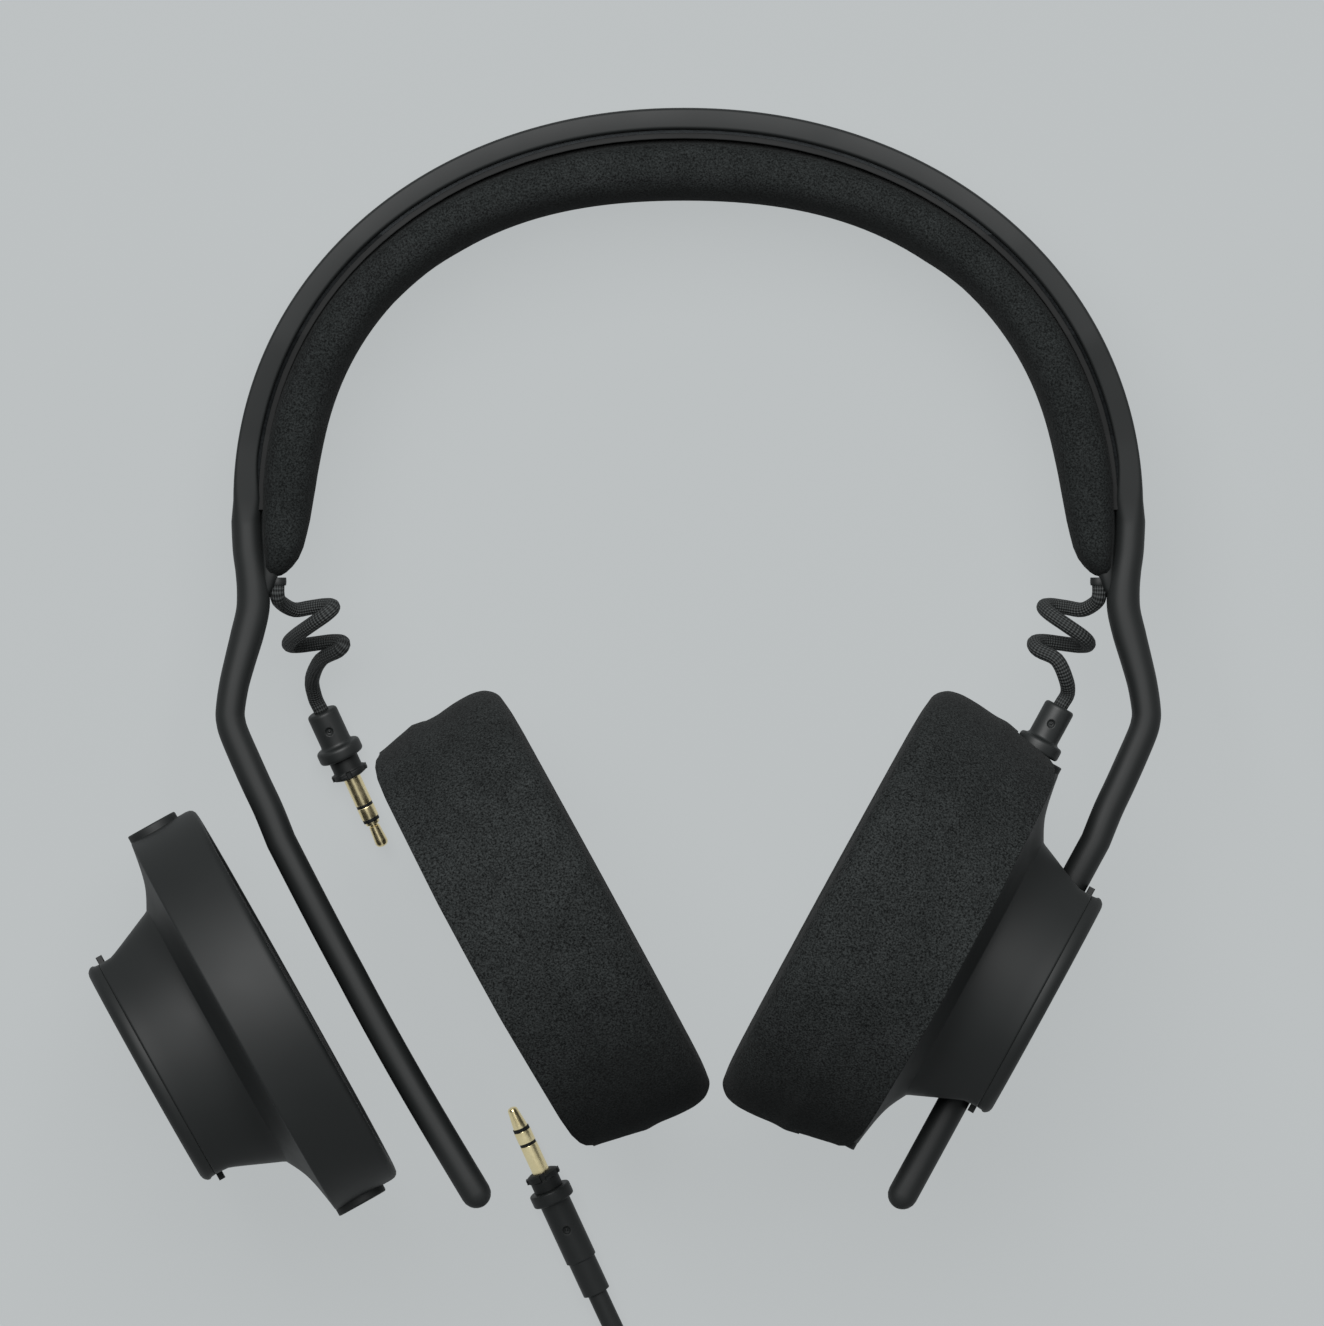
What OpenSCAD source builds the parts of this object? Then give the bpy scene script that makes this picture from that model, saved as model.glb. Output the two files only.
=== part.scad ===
// Modular headset laid on a table, partly taken apart. Millimetres, +Z up.
// Shapes are drawn in the headset's own plane: x to the right, y to the crown, z to the front.
// lay() then tips that plane on to the table, which is z = 0.

/* [Headband] */
// Half the width over the shell
band_half_width = 91; // [80:0.5:100]
// Height of the crown over the shell's ends
band_rise = 80.3; // [70:0.1:90]
// Thickness of the shell
band_thickness = 4.4; // [3:0.1:6]
// Width of the shell at the crown, front to back
band_depth = 30; // [20:1:40]
// Thickness of the steel strip under the shell
spring_thickness = 0.6; // [0.4:0.1:1]
// Thickness of the plate that carries the headband pad
backing_thickness = 1.1; // [0.8:0.1:2]
// Thickness of the headband pad at the crown
band_pad_thickness = 12; // [6:0.1:16]

/* [Arms] */
// Thickness of an arm, side to side
arm_thickness = 6.05; // [4:0.05:7]
// Width of an arm, front to back
arm_depth = 8.5; // [6:0.1:12]
// Tilt of the straight part of an arm from upright, in degrees
arm_tilt = 28.6; // [20:0.1:35]
// Clearance between an arm and its clip
arm_clearance = 0.3; // [0.1:0.05:0.5]

/* [Speakers] */
// Radius of the rim
rim_radius = 42.2; // [36:0.1:48]
// Depth of the rim
rim_depth = 14.4; // [10:0.1:20]
// Depth of a speaker from its front to its back face
speaker_depth = 34.6; // [30:0.1:40]
// Radius of the hump where it meets the rim
hump_radius = 29.2; // [24:0.1:34]
// Depth of the arm's centre line behind the speaker's front
channel_depth = 27.25; // [25:0.05:29]
// Depth of the sockets' centre line behind the speaker's front
jack_depth = 8.2; // [7:0.1:10]

/* [Ear pads] */
// Radius of an ear pad
pad_radius = 47; // [45:0.1:50]
// Height of an ear pad's face in front of the speaker
pad_rise = 15.8; // [10:0.1:22]
// Depth of the skirt that slips over the rim
skirt_depth = 14.5; // [8:0.1:16]
// Radius of the ear opening
ear_radius = 23; // [18:0.5:30]

/* [Plugs] */
// Diameter of a plug's contacts
plug_diameter = 3.5; // [2.5:0.1:6.3]
// Diameter of the curly cords
curl_cord_diameter = 3; // [2:0.1:4]
// Diameter of the main cable
cable_diameter = 4; // [3:0.1:6]
// Turns in the stored coil of main cable
coil_turns = 7.25; // [4.25:1:12.25]

/* [Layout] */
// Tilt of the headset's plane on the table, in degrees
lay_tilt = 11.65; // [8:0.05:14]
// Tilt of the loose speaker from upright, in degrees
loose_tilt = 29.2; // [20:0.1:35]

/* [Hidden] */
$fn = 64;

// Places in the headset's plane, from the middle of the band's ends.
right_cup = [41, -83];
left_cup = [-78.7, -96.4];
left_pad_face = [-16.5, -75.36];
left_plug_tip = [-61.5, -67.36];
left_plug_top = [-73.96, -40.19];
main_plug_tip = [-35.81, -120.07];
main_plug_end = [-18.67, -157.31];
coil_centre = [14, -214];
arm_end_height = -139.9;

// The part's origin is under the middle of what lies on the table, cord left out.
plate_centre = [-12.93, -29.39];
crown_rise = band_rise * sin(lay_tilt) + band_depth / 2 * cos(lay_tilt);
wall_gap = 0.02;
top_gap = 0.3;

// Inset of the headband pad's outer face.
pad_inset = band_thickness + spring_thickness + backing_thickness + 0.15;

// Middle of the band, side to side, and how far its crown leans to the left.
band_middle = -0.24;
band_lean = 0.83;
// The arch is a superellipse, a little squarer than an ellipse.
band_power = 2 / 2.08;

// The right arm's route from the band to its straight part, from the middle of the band.
arm_route = [
    [88.25, -0.02], [88.25, -2], [88.05, -8], [87.5, -12], [87.05, -16], [87.1, -20],
    [88.24, -25], [89.6, -30], [90.85, -35], [91.6, -40], [91.45, -42.5], [90.7, -45],
    [88.55, -50], [86.3, -55], [83.95, -60]
];
// How far the loose left arm bows outwards.
left_arm_bow = 1.1;

// Half widths of the shell and of the pad, front to back, against height.
shell_taper = [[0, 0.285], [15, 0.45], [35, 0.75], [55, 0.93], [81, 1]];
pad_taper = [[-20, 0.4], [0, 0.5], [20, 0.66], [40, 0.84], [60, 0.94], [81, 0.97]];

// Headband pad: stations below the arch, as [height, centre, half thickness, half width].
pad_tip = [
    [-13.4, 82.3, 0.6, 1.2], [-12.6, 82.1, 1.9, 3.8], [-9.8, 81.1, 3.35, 5.8], [-5, 80.5, 4.3, 6.9]
];

// Speaker pieces, by depth behind the front.
channel_half_depth = arm_thickness / 2 + arm_clearance;
channel_half_width = arm_depth / 2 + arm_clearance;
clip_wall = 2.5;
clip_floor = channel_depth - channel_half_depth - 0.9;
cover_depth = 31.8;
slope_depth = 17.9;
slope_radius = 36.3;
hump_top_radius = 27.9;
flank_top = 24;
front_recess_radius = 38.5;
screw_circle = 33;
jack_radius = 4.2;
jack_bore = 1.8;
jack_length = 20.3;
jack_end = 43.3;
lug_radius = 5.4;
lug_depth = 9.1;
jack_mouth = 43.5;
pad_hole_radius = 25.4;
skirt_front = 3.2;
tail_bore = 3.85;
tail_seat = 4.2;
socket_gap = 0.5;

// Lengths along a plug from its tip.
tip_length = 5.8;
main_tip_length = 4.6;
ring_gap = 0.6;
ring_length = 2.55;
sleeve_gap = 0.6;
sleeve_length = 6.1;
contact_length = tip_length + ring_gap + ring_length + sleeve_gap + sleeve_length;
main_contact_length = contact_length - tip_length + main_tip_length;
contact_bore = 0.9;
tail_length = 4.4;
collar_radius = 4.6;
collar_length = 2.7;
barrel_radius = 3.15;
barrel_length = 7.6;
main_tail_length = 3.9;
main_collar_radius = 4.3;
main_barrel_length = 20.65;

// Curly cords: each curl climbs curl_pitch and leans by curl_lean.
curl_radius = 4.7;
curl_depth = 4.4;
curl_pitch = 7.2;
curl_lean = 1.9;
curl_rings = 8;
curl_drift = 1.9;
curl_start = [75.8, -19.4];
gland_place = [82.2, -14.7];
gland_radius = 1.7;

// Main cable's coil: two layers that spiral in, climb and spiral out.
coil_pitch = 4.5;
coil_outer = 32;
coil_low = 3.1;
coil_rings = 24;
coil_middle = coil_turns / 2;
coil_inner = coil_outer - coil_pitch * coil_middle;
tie_wall = 0.7;

// ---- Placing ----

module lay() {
    translate([-plate_centre[0], -plate_centre[1], crown_rise])
        rotate([-lay_tilt, 0, 0])
            children();
}

// A point on the table, at height z, that lies straight behind [x, y] of the headset's plane.
function on_table(at, z) = [
    at[0] - plate_centre[0],
    at[1] / cos(lay_tilt) + (z - crown_rise) * tan(lay_tilt) - plate_centre[1],
    z
];

// From the headset's plane to the part's frame.
function laid(p) = [
    p[0] - plate_centre[0],
    p[1] * cos(lay_tilt) + p[2] * sin(lay_tilt) - plate_centre[1],
    crown_rise - p[1] * sin(lay_tilt) + p[2] * cos(lay_tilt)
];

// How far towards the front a disc must move for its edge to touch the table.
function rest_on_edge(height, radius, lean) =
    (radius * sqrt(1 - pow(sin(lean) * sin(lay_tilt), 2)) - crown_rise + height * sin(lay_tilt))
    / cos(lay_tilt);

// In a speaker's own frame z runs from its front to its back and y towards its upper socket.
module right_place() {
    lay()
        translate([right_cup[0], right_cup[1], 0])
            rotate([0, 0, -arm_tilt])
                rotate([0, 90, 0])
                    children();
}

module left_place(at, forward, tilt) {
    lay()
        translate([at[0], at[1], forward])
            mirror([1, 0, 0])
                rotate([0, 0, -tilt])
                    rotate([0, 90, 0])
                        children();
}

module left_speaker_place() {
    left_place(left_cup, rest_on_edge(left_cup[1] - 0.6, rim_radius, loose_tilt), loose_tilt)
        children();
}

module left_pad_place() {
    left_place(left_pad_face, rest_on_edge(left_pad_face[1] - 3.2, pad_radius, arm_tilt), arm_tilt)
        translate([0, 0, pad_rise])
            children();
}

// In a plug's own frame z runs from its tip to its cord.
module plug_place(tip, top, radius) {
    from = on_table(tip, radius);
    to = on_table(top, radius);
    translate(from)
        rotate([0, 0, atan2(from[0] - to[0], to[1] - from[1])])
            rotate([-90, 0, 0])
                children();
}

module right_plug_place() {
    right_place()
        translate([0, jack_mouth + socket_gap - tail_length - contact_length, jack_depth])
            rotate([-90, 0, 0])
                children();
}

module left_plug_place() {
    plug_place(left_plug_tip, left_plug_top, collar_radius)
        children();
}

module main_plug_place() {
    plug_place(main_plug_tip, main_plug_end, main_collar_radius)
        children();
}

module far_plug_place() {
    translate([far_start[0] + main_contact_length + 15.4, far_start[1], barrel_radius])
        rotate([0, -90, 0])
            children();
}

// ---- Curves and tubes ----

function unit(v) = v / norm(v);

// From the table's own plan, under the middle of the band's ends, to the part's frame.
function on_plan(p) = [p[0] - plate_centre[0], p[1] - plate_centre[1], p[2]];

function tangents(p) = [
    for (i = [0 : len(p) - 1])
        unit(p[min(i + 1, len(p) - 1)] - p[max(i - 1, 0)])
];

// Turns one side direction along a route without twisting it.
function carried(t, side) = [
    for (i = 0, n = unit(side - (side * t[0]) * t[0]);
         i < len(t);
         i = i + 1, n = i < len(t) ? unit(n - (n * t[i]) * t[i]) : n)
        n
];

// A tube of triangles along a route.
module tube(route, radius, sides) {
    t = tangents(route);
    n = carried(t, [0.3, 0.2, 1]);
    rings = len(route);
    points = [
        for (i = [0 : rings - 1], k = [0 : sides - 1])
            route[i] + radius * (cos(360 * k / sides) * n[i] + sin(360 * k / sides) * cross(t[i], n[i]))
    ];
    walls = [
        for (i = [0 : rings - 2], k = [0 : sides - 1])
            let (a = i * sides + k, b = i * sides + (k + 1) % sides)
                each [[a, a + sides, b], [b, a + sides, b + sides]]
    ];
    last = (rings - 1) * sides;
    caps = [
        for (k = [1 : sides - 2])
            each [[0, k, k + 1], [last, last + k + 1, last + k]]
    ];
    polyhedron(points, concat(walls, caps), convexity = 10);
}

// Least gap between parts of a route that are further apart along it than skip rings.
function least_gap(route, diameter, skip) = min([
    for (i = [0 : len(route) - 1])
        for (j = [i + skip : 1 : len(route) - 1])
            norm(route[i] - route[j]) - diameter
]);

function route_length(route, i = 1) =
    i < len(route) ? norm(route[i] - route[i - 1]) + route_length(route, i + 1) : 0;

// A flat strip's outline about a route.
function strip(route, half) = let (t = tangents(route)) concat(
    [for (i = [0 : len(route) - 1]) route[i] + half * [t[i][1], -t[i][0]]],
    [for (i = [len(route) - 1 : -1 : 0]) route[i] - half * [t[i][1], -t[i][0]]]
);

// ---- Headband ----

function arch(inset, turn) = let (rise = pow(abs(sin(turn)), band_power)) [
    band_middle + (band_half_width - inset) * sign(cos(turn)) * pow(abs(cos(turn)), band_power)
        - band_lean * rise,
    (band_rise - inset) * rise
];

module arch_band(inset, thickness, taper, depth) {
    steps = 60;
    outline = concat(
        [for (i = [0 : steps]) arch(inset, 180 * i / steps)],
        [for (i = [steps : -1 : 0]) arch(inset + thickness, 180 * i / steps)]
    );
    plan = concat(
        [for (p = taper) [p[0], p[1] * depth / 2]],
        [for (i = [len(taper) - 1 : -1 : 0]) [taper[i][0], -taper[i][1] * depth / 2]]
    );
    intersection() {
        translate([0, 0, -depth / 2])
            linear_extrude(depth)
                polygon(outline);
        translate([-band_half_width - 3, 0, 0])
            rotate([90, 0, 90])
                linear_extrude(2 * band_half_width + 6)
                    polygon(plan);
    }
}

module band_shell() {
    color("#1b1d1d")
        lay()
            arch_band(0, band_thickness, shell_taper, band_depth);
}

module band_spring() {
    color("#8d9092")
        lay()
            arch_band(band_thickness + wall_gap, spring_thickness, shell_taper, band_depth * 0.8);
}

module band_backing() {
    color("#121414")
        lay()
            arch_band(
                band_thickness + spring_thickness + 2 * wall_gap, backing_thickness,
                shell_taper, band_depth * 0.86
            );
}

// The pad is thickest under the crown and thinnest over the temples.
function pad_inner(turn) = arch(
    pad_inset
        + band_pad_thickness * (0.88 + 0.037 * cos(4 * turn) + 0.083 * pow(abs(sin(turn)), 14)),
    turn
);

function pad_half_width(height) = lookup(height, pad_taper) * band_depth / 2;

// A station is [centre, outward direction, half thickness, half width].
function pad_arch_stations(steps) = [
    for (i = [0 : steps])
        let (
            turn = 180 * i / steps,
            outer = arch(pad_inset, turn),
            inner = pad_inner(turn)
        )
            [(outer + inner) / 2, unit(outer - inner), norm(outer - inner) / 2,
             pad_half_width(outer[1])]
];

function pad_tip_stations(side) = [
    for (s = pad_tip) [[band_middle + side * s[1], s[0]], [side, 0], s[2], s[3]]
];

function reversed(list) = [for (i = [len(list) - 1 : -1 : 0]) list[i]];

module band_pad() {
    sides = 16;
    squareness = 2 / 2.8;
    stations = concat(
        pad_tip_stations(1), pad_arch_stations(36), reversed(pad_tip_stations(-1))
    );
    points = [
        for (s = stations, k = [0 : sides - 1])
            let (
                c = cos(360 * k / sides),
                d = sin(360 * k / sides),
                out = s[2] * sign(c) * pow(abs(c), squareness),
                front = s[3] * sign(d) * pow(abs(d), squareness)
            )
                [s[0][0] + out * s[1][0], s[0][1] + out * s[1][1], front]
    ];
    count = len(stations);
    walls = [
        for (i = [0 : count - 2], k = [0 : sides - 1])
            let (a = i * sides + k, b = i * sides + (k + 1) % sides)
                each [[a, b, a + sides], [b, b + sides, a + sides]]
    ];
    last = (count - 1) * sides;
    caps = [
        for (k = [1 : sides - 2])
            each [[0, k + 1, k], [last, last + k, last + k + 1]]
    ];
    color("#26292a")
        lay()
            polyhedron(points, concat(walls, caps), convexity = 8);
}

// A point of the headset's plane from the right speaker's own y and depth.
function by_right_cup(y, depth) = [
    right_cup[0] + depth * cos(arm_tilt) + y * sin(arm_tilt),
    right_cup[1] - depth * sin(arm_tilt) + y * cos(arm_tilt)
];

module arm(bow) {
    half = arm_thickness / 2;
    down = [-sin(arm_tilt), -cos(arm_tilt)];
    top = by_right_cup(34, channel_depth) - [band_middle, 0];
    length = (top[1] - arm_end_height - half) / cos(arm_tilt);
    foot = top + length * down;
    straight = [
        for (k = [0 : 6])
            top + length * k / 6 * down + bow * sin(30 * k) * [-down[1], down[0]]
    ];
    sides = strip(concat(arm_route, straight), half);
    half_count = len(sides) / 2;
    round_end = [
        for (a = [-165 : 15 : -15])
            foot + half * [cos(a - arm_tilt), sin(a - arm_tilt)]
    ];
    color("#1b1d1d")
        lay()
            translate([band_middle, 0, -arm_depth / 2])
                linear_extrude(arm_depth)
                    polygon(concat(
                        [for (i = [0 : half_count - 1]) sides[i]],
                        round_end,
                        [for (i = [half_count : 2 * half_count - 1]) sides[i]]
                    ));
}

module left_arm() {
    translate([2 * (band_middle - plate_centre[0]), 0, 0])
        mirror([1, 0, 0])
            arm(left_arm_bow);
}

module right_arm() {
    arm(0);
}

module cord_gland(side) {
    color("#141616")
        lay()
            translate([band_middle + side * gland_place[0], gland_place[1] - 1.5, 0])
                rotate([-90, 0, 0])
                    difference() {
                        cylinder(h = 2.6, r = gland_radius);
                        translate([0, 0, -1])
                            cylinder(h = 5, r = curl_cord_diameter / 2 + wall_gap);
                    }
}

module left_cord_gland() {
    cord_gland(-1);
}

module right_cord_gland() {
    cord_gland(1);
}

// ---- Curly cords ----

// Right cord's helix at a turn in degrees, front strands going down and out.
function curl_point(turn) = [
    curl_start[0] - curl_radius * cos(turn) - curl_drift * pow(turn / 360, 2),
    curl_start[1] - curl_pitch * turn / 360 + curl_lean * (cos(turn) - 1),
    curl_depth * sin(turn)
];

function curl_drop(p, end) = let (s = (gland_place[1] - p[1]) / (gland_place[1] - end[1]))
    s * s * (3 - 2 * s) * end[2];

// From the gland, through the curls, to the top of the plug.
function curl_route(end, lead) = let (
    step = 360 / curl_rings,
    helix = [for (k = [-3 : 2 * curl_rings - 7]) curl_point(step * k)],
    plain = concat([[81.4, -18.6, -1.3]], helix, [[72.6, -30.6, 4.1], [74.2, -34.4, 2.2]])
) concat(
    [for (y = [0.9, -2.4]) [band_middle + gland_place[0], gland_place[1] + y, 0]],
    [for (p = plain) [band_middle + p[0], p[1], p[2] + curl_drop(p, end)]],
    [end - 3 * lead, end - 1.2 * lead, end + 2 * lead]
);

function right_cord_end() = [
    each by_right_cup(jack_mouth + socket_gap + collar_length + barrel_length, jack_depth), 0
];

// Back from a point of the part's frame to the headset's plane.
function unlaid(q) = let (
    x = q[0] + plate_centre[0],
    y = q[1] + plate_centre[1],
    z = q[2] - crown_rise
) [x, y * cos(lay_tilt) - z * sin(lay_tilt), y * sin(lay_tilt) + z * cos(lay_tilt)];

function mirrored(route) = [for (p = route) [2 * band_middle - p[0], p[1], p[2]]];

right_cord_route = curl_route(right_cord_end(), [-sin(arm_tilt), -cos(arm_tilt), 0]);

left_end = unlaid(on_table(left_plug_top, collar_radius));
left_foot = unlaid(on_table(left_plug_tip, collar_radius));
left_lead = unit(left_foot - left_end);
left_cord_route = mirrored(
    curl_route(mirrored([left_end])[0], [-left_lead[0], left_lead[1], left_lead[2]])
);

module curly_cord(route) {
    color("#222425")
        tube([for (p = route) laid(p)], curl_cord_diameter / 2, 6);
    echo("curly cord", gap = least_gap(route, curl_cord_diameter, 5), length = route_length(route));
}

module left_curly_cord() {
    curly_cord(left_cord_route);
}

module right_curly_cord() {
    curly_cord(right_cord_route);
}

// ---- Speaker pieces ----

module housing() {
    flank = [
        [-rim_radius, rim_depth - 1], [rim_radius, rim_depth - 1], [rim_radius, slope_depth],
        [hump_radius, slope_depth], [flank_top + 0.1, 29.2], [flank_top, cover_depth],
        [-flank_top, cover_depth], [-flank_top - 0.1, 29.2], [-hump_radius, slope_depth],
        [-rim_radius, slope_depth]
    ];
    color("#1d1f1f")
        difference() {
            union() {
                intersection() {
                    rotate_extrude($fn = 96)
                        polygon([
                            [0, rim_depth], [rim_radius - 2.5, rim_depth],
                            [slope_radius, rim_depth + 1], [hump_radius, slope_depth],
                            [hump_top_radius, cover_depth], [0, cover_depth]
                        ]);
                    rotate([90, 0, 90])
                        translate([0, 0, -50])
                            linear_extrude(100)
                                polygon(flank);
                }
                for (a = [45 : 90 : 315])
                    rotate([0, 0, a])
                        translate([screw_circle, 0, 4])
                            cylinder(h = rim_depth - 3.5, r = 3);
            }
            for (a = [45 : 90 : 315])
                rotate([0, 0, a])
                    translate([screw_circle, 0, 3])
                        cylinder(h = 9, r = 1.02);
            cylinder(h = 21, r = 20);
            translate([-channel_half_width - clip_wall - wall_gap, -50, clip_floor - wall_gap])
                cube([2 * (channel_half_width + clip_wall + wall_gap), 100, 20]);
        }
}

// The rim's section, all round.
module rim_ring() {
    rotate_extrude($fn = 96)
        polygon([
            [front_recess_radius, 0], [rim_radius - 1.4, 0], [rim_radius - 0.4, 0.4],
            [rim_radius, 1.4], [rim_radius, rim_depth - wall_gap],
            [front_recess_radius, rim_depth - wall_gap]
        ]);
}

// The rim is open at both sockets.
module rim() {
    color("#1d1f1f")
        difference() {
            rim_ring();
            translate([-lug_radius - wall_gap, -50, -1])
                cube([2 * (lug_radius + wall_gap), 100, 20]);
        }
}

module back_cover() {
    color("#1d1f1f")
        intersection() {
            rotate_extrude($fn = 96)
                polygon([
                    [0, cover_depth], [hump_top_radius - 0.1, cover_depth],
                    [hump_top_radius - 0.3, 33.2], [26.9, 34.2], [25.8, speaker_depth],
                    [0, speaker_depth]
                ]);
            rotate([90, 0, 90])
                translate([0, 0, -50])
                    linear_extrude(100)
                        polygon([
                            [-flank_top, cover_depth], [flank_top, cover_depth],
                            [flank_top + 0.4, 33.4], [flank_top - 0.6, speaker_depth],
                            [-flank_top + 0.6, speaker_depth], [-flank_top - 0.4, 33.4]
                        ]);
        }
}

module arm_clip() {
    half = channel_half_width + clip_wall;
    roof = channel_depth + channel_half_depth;
    color("#101212")
        difference() {
            union() {
                translate([-half, -23.8, clip_floor])
                    cube([2 * half, 47.6, cover_depth - clip_floor - wall_gap]);
                for (side = [-1, 1])
                    translate([-half + 2, side > 0 ? 23.6 : -25.5, roof])
                        cube([2 * half - 4, 1.9, cover_depth - roof - wall_gap]);
            }
            translate([-channel_half_width, -50, channel_depth - channel_half_depth])
                cube([2 * channel_half_width, 100, 2 * channel_half_depth]);
        }
}

module baffle() {
    color("#2a2c2c")
        difference() {
            translate([0, 0, 2])
                cylinder(h = 1.98, r = front_recess_radius - wall_gap, $fn = 96);
            translate([0, 0, 1])
                cylinder(h = 5, r = 19);
            for (a = [45 : 90 : 315])
                rotate([0, 0, a])
                    translate([screw_circle, 0, 1])
                        cylinder(h = 5, r = 1.05);
        }
}

module baffle_screws() {
    color("#9a9c9e")
        for (a = [45 : 90 : 315])
            rotate([0, 0, a])
                translate([screw_circle, 0, 0]) {
                    translate([0, 0, 1.1])
                        cylinder(h = 0.88, r = 1.9, $fn = 24);
                    translate([0, 0, 1.9])
                        cylinder(h = 9, r = 1, $fn = 24);
                }
}

module driver_frame() {
    color("#303234")
        rotate_extrude($fn = 72)
            polygon([
                [17, 4.02], [19.9, 4.02], [19.9, 5.6], [15.5, 9.5], [15.5, 10], [9, 10],
                [9, 9.2], [14.6, 9.2], [17, 6]
            ]);
}

module driver_magnet() {
    color("#8f9295")
        translate([0, 0, 10.02])
            cylinder(h = 5, r = 13.5, $fn = 72);
}

module diaphragm() {
    color("#c9c4b4")
        rotate_extrude($fn = 72)
            polygon([
                [0, 2.2], [8, 2.8], [9, 3.6], [13, 3], [17, 3.4], [18.9, 3.5], [18.9, 4],
                [17, 3.95], [13, 3.5], [9, 4.1], [8, 3.3], [0, 2.7]
            ]);
}

module felt() {
    color("#3a3c3d")
        difference() {
            translate([0, 0, 0.5])
                cylinder(h = 0.55, r = front_recess_radius - 0.2, $fn = 96);
            cylinder(h = 3, r = 4);
        }
}

// A socket and its lug, which fills the gap in the rim, along y with the mouth outwards.
module jack() {
    color("#222424")
        difference() {
            union() {
                translate([0, jack_end - jack_length, jack_depth])
                    rotate([-90, 0, 0])
                        cylinder(h = jack_length, r = jack_radius);
                intersection() {
                    union() {
                        rim_ring();
                        translate([0, front_recess_radius, lug_depth])
                            rotate([-90, 0, 0])
                                cylinder(h = 10, r = lug_radius);
                    }
                    translate([-lug_radius, 30, -1])
                        cube([2 * lug_radius, 30, rim_depth + 1 - wall_gap]);
                    cylinder(h = 40, r = jack_mouth, $fn = 96);
                }
            }
            translate([0, 0, jack_depth])
                rotate([-90, 0, 0]) {
                    translate([0, 0, jack_end - jack_length + 0.6])
                        cylinder(h = 40, r = jack_bore);
                    translate([0, 0, jack_end - tail_seat])
                        cylinder(h = 20, r = tail_bore);
                }
        }
}

// ---- Ear pad pieces ----

module cushion() {
    color("#27292a")
        rotate_extrude($fn = 96)
            polygon([
                [pad_hole_radius, -2.6], [rim_radius + top_gap, -2.6],
                [rim_radius + top_gap, skirt_front], [pad_radius - 1.3, skirt_front],
                [pad_radius - 0.5, -3], [pad_radius, -8.5], [pad_radius - 0.3, -12],
                [pad_radius - 1.3, -14], [pad_radius - 3.5, -15.4], [40, -pad_rise],
                [33, -pad_rise], [29, -15.3], [26, -13.8], [ear_radius + 1.2, -11.4],
                [ear_radius, -8.4], [ear_radius, -5.6], [ear_radius + 1, -3.6]
            ]);
}

// The pad's skirt, cut away at both sockets.
module pad_skirt() {
    inner = jack_mouth + top_gap;
    notch = lug_radius + top_gap;
    color("#27292a")
        difference() {
            rotate_extrude($fn = 96)
                polygon([
                    [inner, skirt_front + wall_gap], [pad_radius - 1.32, skirt_front + wall_gap],
                    [pad_radius - 1.9, 8.5], [inner + 0.6, skirt_depth], [inner, skirt_depth]
                ]);
            translate([-notch, 40, skirt_front - 1])
                cube([2 * notch + 8, 8, 14]);
            translate([-notch, -48, skirt_front - 1])
                cube([2 * notch, 8, 14]);
        }
}

module pad_ring() {
    color("#151717")
        difference() {
            translate([0, 0, -2.55])
                cylinder(h = 2.1, r = rim_radius, $fn = 96);
            translate([0, 0, -4])
                cylinder(h = 6, r = pad_hole_radius, $fn = 72);
        }
}

module pad_cloth() {
    color("#2d2f30")
        translate([0, 0, -1.8])
            cylinder(h = 0.5, r = pad_hole_radius - wall_gap, $fn = 72);
}

// ---- Plug pieces, from the tip up ----

module plug_contacts(tip) {
    r = plug_diameter / 2;
    ring_from = tip + ring_gap;
    sleeve_from = ring_from + ring_length + sleeve_gap;
    color("#c9ab6a")
        rotate_extrude($fn = 48) {
            polygon([
                [0, 0], [0.8, 0.15], [1.3, 1], [1.15, tip - 1.2], [r, tip - 0.9], [r, tip], [0, tip]
            ]);
            translate([contact_bore, ring_from])
                square([r - contact_bore, ring_length]);
            translate([contact_bore, sleeve_from])
                square([r - contact_bore, sleeve_length]);
        }
}

module plug_insulators(tip) {
    r = plug_diameter / 2;
    ring_from = tip + ring_gap;
    sleeve_from = ring_from + ring_length + sleeve_gap;
    core = contact_bore - wall_gap;
    color("#0c0d0d")
        rotate_extrude($fn = 48)
            polygon([
                [0, tip], [r, tip], [r, ring_from], [core, ring_from],
                [core, ring_from + ring_length], [r, ring_from + ring_length], [r, sleeve_from],
                [core, sleeve_from], [core, sleeve_from + sleeve_length],
                [0, sleeve_from + sleeve_length]
            ]);
}

// Neck and lip of the quarter-turn lock.
module plug_tail(start, length, lip) {
    color("#0f1111")
        translate([0, 0, start])
            rotate_extrude($fn = 48)
                polygon([
                    [0, 0], [lip - 0.5, 0], [lip, 0.5], [lip, 1.3], [lip - 0.5, 1.9],
                    [lip - 0.5, length], [0, length]
                ]);
}

module plug_barrel(start, collar_r, length, cord_r) {
    color("#1c1e1e")
        translate([0, 0, start])
            difference() {
                rotate_extrude($fn = 48)
                    polygon([
                        [0, 0], [collar_r - 0.6, 0], [collar_r, 0.6], [collar_r, collar_length - 0.6],
                        [collar_r - 0.6, collar_length], [barrel_radius, collar_length],
                        [barrel_radius, collar_length + length - 0.6],
                        [barrel_radius - 0.6, collar_length + length], [0, collar_length + length]
                    ]);
                translate([0, 0, collar_length + length - 3])
                    cylinder(h = 5, r = cord_r + wall_gap);
            }
}

module side_plug_barrel() {
    plug_barrel(
        contact_length + tail_length, collar_radius, barrel_length, curl_cord_diameter / 2
    );
}

// ---- Main cable ----

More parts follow.
